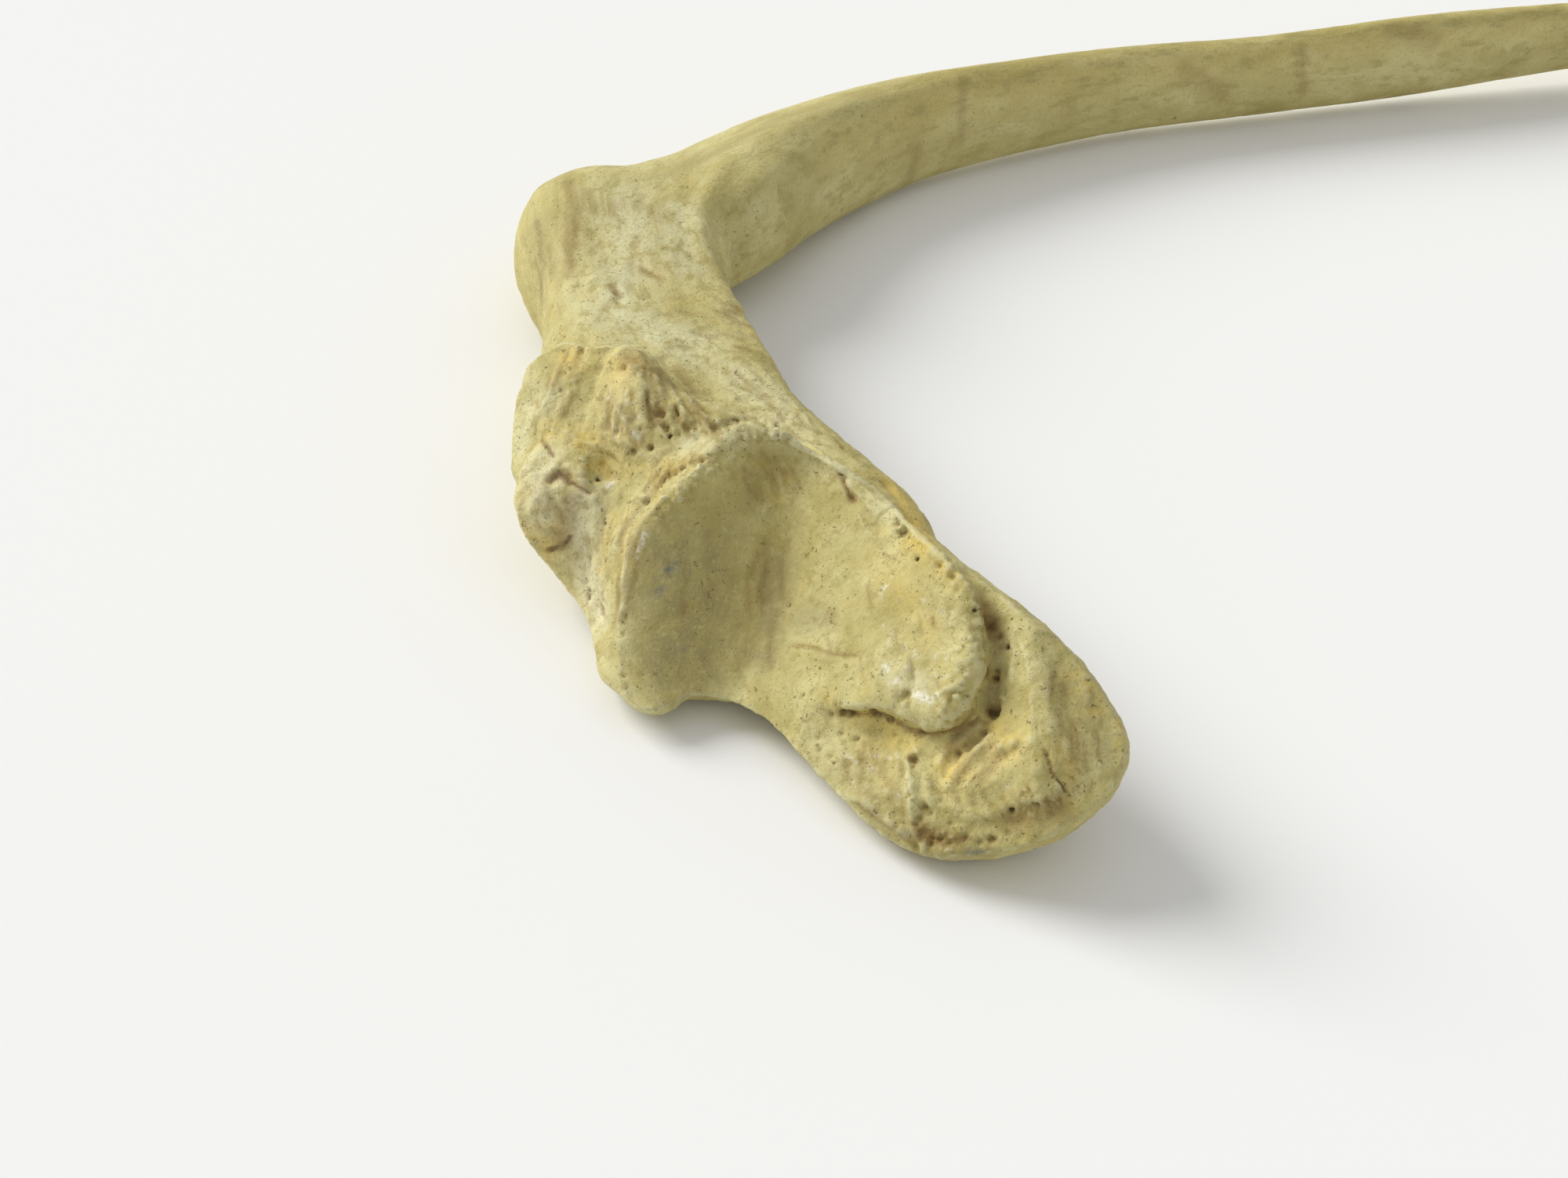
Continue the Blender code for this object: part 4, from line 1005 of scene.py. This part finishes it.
def skinTree(material):
    # unevenness and pores over the bone, where the attributes rough and porous ask for them
    tree = bpy.data.node_groups.new("boneSkin", "GeometryNodeTree")
    tree.interface.new_socket("Geometry", in_out="INPUT", socket_type="NodeSocketGeometry")
    tree.interface.new_socket("Geometry", in_out="OUTPUT", socket_type="NodeSocketGeometry")
    for name in skin:
        kind = "NodeSocketInt" if name == "Seed" else "NodeSocketFloat"
        tree.interface.new_socket(name, in_out="INPUT", socket_type=kind)
    given = addNode(tree, "NodeGroupInput").outputs
    result = addNode(tree, "NodeGroupOutput")
    stored = {}
    for name, kind in (("places", "FLOAT_VECTOR"), ("rough", "FLOAT"), ("porous", "FLOAT")):
        stored[name] = addNode(tree, "GeometryNodeInputNamedAttribute",
                               {"data_type": kind, "Name": name}).outputs[0]

    # the unevenness: two noises, the second one finer
    waves = []
    for size, height in (("Lump size", "Lump height"), ("Grain size", "Grain height")):
        rate = addNode(tree, "ShaderNodeMath", {"operation": "DIVIDE", 0: 1.0}, {1: given[size]})
        scaled = addNode(tree, "ShaderNodeVectorMath", {"operation": "SCALE"},
                         {0: stored["places"], "Scale": rate.outputs[0]})
        noise = addNode(tree, "ShaderNodeTexNoise", {"Scale": 1.0, "Detail": 3.0, "Roughness": 0.6},
                        {"Vector": scaled.outputs[0]})
        centred = addNode(tree, "ShaderNodeMath", {"operation": "SUBTRACT", 1: 0.5},
                          {0: noise.outputs[0]})
        waves.append(addNode(tree, "ShaderNodeMath", {"operation": "MULTIPLY"},
                             {0: centred.outputs[0], 1: given[height]}))
    bumps = addNode(tree, "ShaderNodeMath", {"operation": "ADD"},
                    {0: waves[0].outputs[0], 1: waves[1].outputs[0]})
    bumps = addNode(tree, "ShaderNodeMath", {"operation": "MULTIPLY"},
                    {0: bumps.outputs[0], 1: stored["rough"]})

    # the pores: points strewn over the surface, each with its own radius
    density = addNode(tree, "ShaderNodeMath", {"operation": "MULTIPLY_ADD"},
                      {0: stored["porous"], 1: given["Pores per mm2"], 2: given["Stray pores per mm2"]})
    density = addNode(tree, "ShaderNodeMath", {"operation": "DIVIDE", 1: mm * mm},
                      {0: density.outputs[0]})
    strewn = addNode(tree, "GeometryNodeDistributePointsOnFaces", {"distribute_method": "RANDOM"},
                     {"Mesh": given["Geometry"], "Density": density.outputs[0], "Seed": given["Seed"]})
    nearest = addNode(tree, "GeometryNodeSampleNearest", {"domain": "POINT"},
                      {"Geometry": strewn.outputs["Points"]})
    here = addNode(tree, "GeometryNodeInputPosition")
    centre = addNode(tree, "GeometryNodeSampleIndex", {"data_type": "FLOAT_VECTOR", "domain": "POINT"},
                     {"Geometry": strewn.outputs["Points"], "Value": here.outputs[0],
                      "Index": nearest.outputs["Index"]})
    gap = addNode(tree, "ShaderNodeVectorMath", {"operation": "DISTANCE"},
                  {0: here.outputs[0], 1: centre.outputs["Value"]})
    chance = addNode(tree, "FunctionNodeRandomValue", {"data_type": "FLOAT"},
                     {"ID": nearest.outputs["Index"], "Seed": given["Seed"]})
    # most pores are small: the share of the largest radius is 0.4 and 0.6 of the square of chance
    share = addNode(tree, "ShaderNodeMath", {"operation": "POWER", 1: 2.0},
                    {0: chance.outputs["Value"]})
    share = addNode(tree, "ShaderNodeMath", {"operation": "MULTIPLY_ADD", 1: 0.6, 2: 0.4},
                    {0: share.outputs[0]})
    radius = addNode(tree, "ShaderNodeMath", {"operation": "MULTIPLY"},
                     {0: share.outputs[0], 1: given["Pore radius"]})
    inner = addNode(tree, "ShaderNodeMath", {"operation": "MULTIPLY", 1: 0.3}, {0: radius.outputs[0]})
    hole = addNode(tree, "ShaderNodeMapRange",
                   {"interpolation_type": "SMOOTHSTEP", "To Min": 1.0, "To Max": 0.0},
                   {"Value": gap.outputs["Value"], "From Min": inner.outputs[0],
                    "From Max": radius.outputs[0]})
    pore = addNode(tree, "ShaderNodeMath", {"operation": "MULTIPLY"},
                   {0: hole.outputs[0], 1: share.outputs[0]})
    keeping = addNode(tree, "GeometryNodeStoreNamedAttribute",
                      {"data_type": "FLOAT", "domain": "POINT", "Name": "pore"},
                      {"Geometry": given["Geometry"], "Value": pore.outputs[0]})

    depth = addNode(tree, "ShaderNodeMath", {"operation": "MULTIPLY"},
                    {0: pore.outputs[0], 1: given["Pore depth"]})
    rise = addNode(tree, "ShaderNodeMath", {"operation": "SUBTRACT"},
                   {0: bumps.outputs[0], 1: depth.outputs[0]})
    outward = addNode(tree, "GeometryNodeInputNormal")
    offset = addNode(tree, "ShaderNodeVectorMath", {"operation": "SCALE"},
                     {0: outward.outputs[0], "Scale": rise.outputs[0]})
    moved = addNode(tree, "GeometryNodeSetPosition", {},
                    {"Geometry": keeping.outputs[0], "Offset": offset.outputs[0]})
    real = addNode(tree, "GeometryNodeRealizeInstances", {}, {"Geometry": moved.outputs[0]})
    dressed = addNode(tree, "GeometryNodeSetMaterial", {"Material": material},
                      {"Geometry": real.outputs[0]})
    tree.links.new(dressed.outputs[0], result.inputs["Geometry"])
    return tree


def withSkin(mesh, material):
    thing = addObject("skin", mesh)
    modifier = thing.modifiers.new("skin", "NODES")
    modifier.node_group = skinTree(material)
    for socket in modifier.node_group.interface.items_tree:
        if socket.in_out == "INPUT" and socket.name in skin:
            modifier[socket.identifier] = skin[socket.name]
    return plainMesh(thing)


# Old bone, boiled clean and left bare: a chalky dry surface, ochre where fat and soil have soaked in.
# Cream on the ridges is partly wear and partly painted highlight; brown in the pores and hollows is partly
# dirt and partly painted shade
dryBone = {
    "mid": "C0B475", "light": "CFC68B", "dark": "A39656",
    "ochre": "D5B856", "brown": "80602F", "grey": "8A7F54", "pale": "DBD8AE", "deep": "43331C",
    "slate": "5C6668", "chalk": "E9E5D2",
    "roughness": (0.58, 0.74),
    "specular": 0.3,
    "bumpHeight": 0.4,     # mm
}

# Noises: what they are laid on, size in mm, detail, distortion. Real pores are half as wide as the
# specks here, which would not show.
patterns = {
    "blotch": ("places", 11.0, 4.0, 0.4),
    "mottle": ("places", 3.2, 4.0, 0.0),
    "vein": ("places", 5.0, 3.0, 0.6),
    "fibre": ("places", 2.0, 3.0, 0.0),
    "stain": ("object", 6.0, 3.0, 0.0),
    "cluster": ("object", 5.0, 3.0, 0.0),
    "speck": ("object", 0.9, 3.0, 0.0),
    "fine": ("object", 0.8, 2.0, 0.0),
}

# Layers of colour from the ground up: colour, what limits it, pattern, the pattern's values
# from and to, strength at the first and at the second of them
layers = (
    ("light", None, "blotch", (0.45, 0.68), (0.0, 1.0)),
    ("dark", None, "blotch", (0.5, 0.3), (0.0, 0.65)),
    ("ochre", "ochre", "mottle", (0.3, 0.62), (0.15, 0.85)),
    ("ochre", "rough", "stain", (0.56, 0.7), (0.0, 0.4)),
    # grey: partly the joint face's tone, partly painted shade
    ("grey", "grey", "mottle", (0.25, 0.6), (0.35, 0.85)),
    # pale: partly the bone's tone, partly painted highlight
    ("pale", "pale", "mottle", (0.3, 0.6), (0.25, 0.8)),
    # painted shade where the dark mask asks for it
    ("dark", "dark", "mottle", (0.25, 0.6), (0.9, 0.5)),
    ("dark", None, "mottle", (0.5, 0.34), (0.0, 0.5)),
    ("brown", "veins", "blotch", (0.4, 0.6), (0.0, 0.4)),
    ("light", None, "fine", (0.55, 0.75), (0.0, 0.35)),
    ("dark", None, "fine", (0.45, 0.28), (0.0, 0.45)),
    # paler on ridges and crests: partly wear, partly painted highlight
    ("pale", None, "wearAndHighlight", (0.15, 0.9), (0.0, 0.4)),
    # browner in hollows: partly dirt, partly painted shade
    ("brown", "dirtAndShade", "mottle", (0.25, 0.55), (0.2, 0.5)),
    ("brown", "brown", "mottle", (0.25, 0.5), (0.5, 0.95)),
    ("brown", "specks", "fine", (0.3, 0.6), (0.6, 0.5)),
    ("slate", "slate", "fine", (0.35, 0.55), (0.3, 0.9)),
    ("chalk", "chalk", "fine", (0.4, 0.55), (0.3, 1.0)),
    # darkest in the pores and deep hollows: partly dirt, partly painted shade
    ("deep", None, "pore", (0.25, 0.8), (0.0, 0.8)),
    ("deep", None, "hollow", (1.1, 2.0), (0.0, 0.6)),
)


def boneMaterial():
    material = bpy.data.materials.new("dryBone")
    material.use_nodes = True
    tree = material.node_tree
    shader = tree.nodes["Principled BSDF"]
    fields = {}
    for name in ("ochre", "brown", "grey", "pale", "dark", "slate", "chalk",
                 "rough", "pore", "hollow", "wearAndHighlight"):
        fields[name] = addNode(tree, "ShaderNodeAttribute", {"attribute_name": name}).outputs["Fac"]
    spaces = {
        "places": addNode(tree, "ShaderNodeAttribute", {"attribute_name": "places"}).outputs["Vector"],
        "object": addNode(tree, "ShaderNodeTexCoord").outputs["Object"],
    }
    for name, (space, size, detail, distortion) in patterns.items():
        settings = {"Scale": 1 / (size * mm), "Detail": detail, "Roughness": 0.62,
                    "Distortion": distortion}
        fields[name] = addNode(tree, "ShaderNodeTexNoise",
                               settings, {"Vector": spaces[space]}).outputs["Fac"]

    # thin wandering veins, darkening in the hollows (partly dirt, partly painted shade) and clustered
    # specks, as products of smooth steps
    away = addNode(tree, "ShaderNodeMath", {"operation": "SUBTRACT", 1: 0.5}, {0: fields["vein"]})
    fields["offVein"] = addNode(tree, "ShaderNodeMath", {"operation": "ABSOLUTE"},
                                {0: away.outputs[0]}).outputs[0]
    products = {
        "veins": (("offVein", (0.022, 0.0), (0.0, 1.0)), ("rough", (0.2, 0.8), (0.35, 1.0))),
        "dirtAndShade": (("hollow", (0.2, 1.3), (0.0, 1.0)),),
        "specks": (("speck", (0.37, 0.29), (0.0, 1.0)), ("cluster", (0.4, 0.6), (0.0, 1.0)),
                   ("rough", (0.1, 0.8), (0.3, 1.0))),
    }
    for name, steps in products.items():
        for source, (low, high), (atLow, atHigh) in steps:
            step = addNode(tree, "ShaderNodeMapRange", {
                "interpolation_type": "SMOOTHSTEP", "From Min": low, "From Max": high,
                "To Min": atLow, "To Max": atHigh}, {"Value": fields[source]}).outputs[0]
            if name in fields:
                step = addNode(tree, "ShaderNodeMath", {"operation": "MULTIPLY"},
                               {0: fields[name], 1: step}).outputs[0]
            fields[name] = step

    colour = addNode(tree, "ShaderNodeRGB").outputs[0]
    colour.default_value = linear(dryBone["mid"])
    for tone, limit, pattern, (low, high), (atLow, atHigh) in layers:
        share = addNode(tree, "ShaderNodeMapRange", {
            "interpolation_type": "SMOOTHSTEP", "From Min": low, "From Max": high,
            "To Min": atLow, "To Max": atHigh}, {"Value": fields[pattern]}).outputs[0]
        if limit:
            share = addNode(tree, "ShaderNodeMath", {"operation": "MULTIPLY", "use_clamp": True},
                            {0: fields[limit], 1: share}).outputs[0]
        colour = addNode(tree, "ShaderNodeMix",
                         {"data_type": "RGBA", "blend_type": "MIX", 7: linear(dryBone[tone])},
                         {"Factor": share, 6: colour}).outputs[2]
    tree.links.new(colour, shader.inputs["Base Color"])

    height = addNode(tree, "ShaderNodeMath", {"operation": "ADD"},
                     {0: fields["fine"], 1: fields["fibre"]})
    height = addNode(tree, "ShaderNodeMath", {"operation": "MULTIPLY", 1: 0.47},
                     {0: height.outputs[0]})
    height = addNode(tree, "ShaderNodeMath", {"operation": "SUBTRACT"},
                     {0: height.outputs[0], 1: fields["specks"]})
    bump = addNode(tree, "ShaderNodeBump", {"Strength": 0.9, "Distance": dryBone["bumpHeight"] * mm},
                   {"Height": height.outputs[0]})
    tree.links.new(bump.outputs["Normal"], shader.inputs["Normal"])
    smooth, coarse = dryBone["roughness"]
    gloss = addNode(tree, "ShaderNodeMapRange",
                    {"From Min": 0.3, "From Max": 0.7, "To Min": smooth, "To Max": coarse},
                    {"Value": fields["mottle"]})
    tree.links.new(gloss.outputs[0], shader.inputs["Roughness"])
    shader.inputs["Specular IOR Level"].default_value = dryBone["specular"]
    return material


def hollows(sculpture):
    # how far each point lies under, or over, the mean of its surroundings, in mm
    under = np.zeros(len(sculpture.points))
    soft = sculpture.points.copy()
    for steps, share in bone["hollowSteps"]:
        soft = sculpture.softened(soft, steps)
        under += ((soft - sculpture.points) * sculpture.normals).sum(1) / mm * share
    return under


def finishBone():
    material = boneMaterial()
    dressed = Sculpture(withSkin(sculpture.mesh, material))
    print("skin laid on:", len(dressed.points), "points")
    under = hollows(dressed)
    # the next two values darken hollows, partly as dirt and partly as painted shade, and lighten ridges,
    # partly as wear and partly as painted highlight
    keep(dressed.mesh, "hollow", np.clip(under, 0, 2))
    keep(dressed.mesh, "wearAndHighlight", np.clip(-under, 0, 2))
    mesh = withModifiers(dressed.mesh, "thin", (
        ("DECIMATE", {"ratio": min(1.0, bone["triangles"] / (2 * len(dressed.mesh.polygons)))}),))
    mesh.name = "ribBone"
    thing = addObject("ribBone", mesh)
    mesh.shade_smooth()
    mesh.materials.clear()
    mesh.materials.append(material)
    now = np.clip(readPoints(mesh), np.array(cadLow), np.array(cadHigh))
    writePoints(mesh, now)
    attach(thing, root)
    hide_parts("rib")
    print("bone:", len(mesh.polygons), "faces")
    return thing


finishBone()

studio = {
    "floor": "F4F4F2",
    "floorReach": 12.0,             # metres
    "floorDrop": 0.2 * mm,          # under the bone, so that the two faces don't meet
    "floorRoughness": 0.9,
    "world": 0.54,
    "sun": 2.6,                     # watts on a square metre
    "sunFrom": (-1.0, 0.34, 0.7),
    "sunAngle": 35.0,               # degrees across, as wide as a softbox looks
}


def makeStudio():
    reach = studio["floorReach"]
    mesh = bpy.data.meshes.new("floor")
    sides = ((-1, -1), (1, -1), (1, 1), (-1, 1))
    corners = [(x * reach, y * reach, -studio["floorDrop"]) for x, y in sides]
    mesh.from_pydata(corners, [], [(0, 1, 2, 3)])
    floor = addObject("floor", mesh)
    material = bpy.data.materials.new("paleFloor")
    material.use_nodes = True
    shader = material.node_tree.nodes["Principled BSDF"]
    shader.inputs["Base Color"].default_value = linear(studio["floor"])
    shader.inputs["Roughness"].default_value = studio["floorRoughness"]
    mesh.materials.append(material)
    world = bpy.data.worlds.new("studio")
    world.use_nodes = True
    sky = world.node_tree.nodes["Background"]
    sky.inputs["Color"].default_value = (1, 1, 1, 1)
    sky.inputs["Strength"].default_value = studio["world"]
    bpy.context.scene.world = world
    bpy.context.scene.view_settings.view_transform = "Standard"
    lamp = bpy.data.lights.new("key", "SUN")
    lamp.energy = studio["sun"]
    lamp.angle = math.radians(studio["sunAngle"])
    key = addObject("key", lamp)
    key.rotation_euler = (-Vector(studio["sunFrom"])).to_track_quat("-Z", "Y").to_euler()
    print("studio lit")


makeStudio()
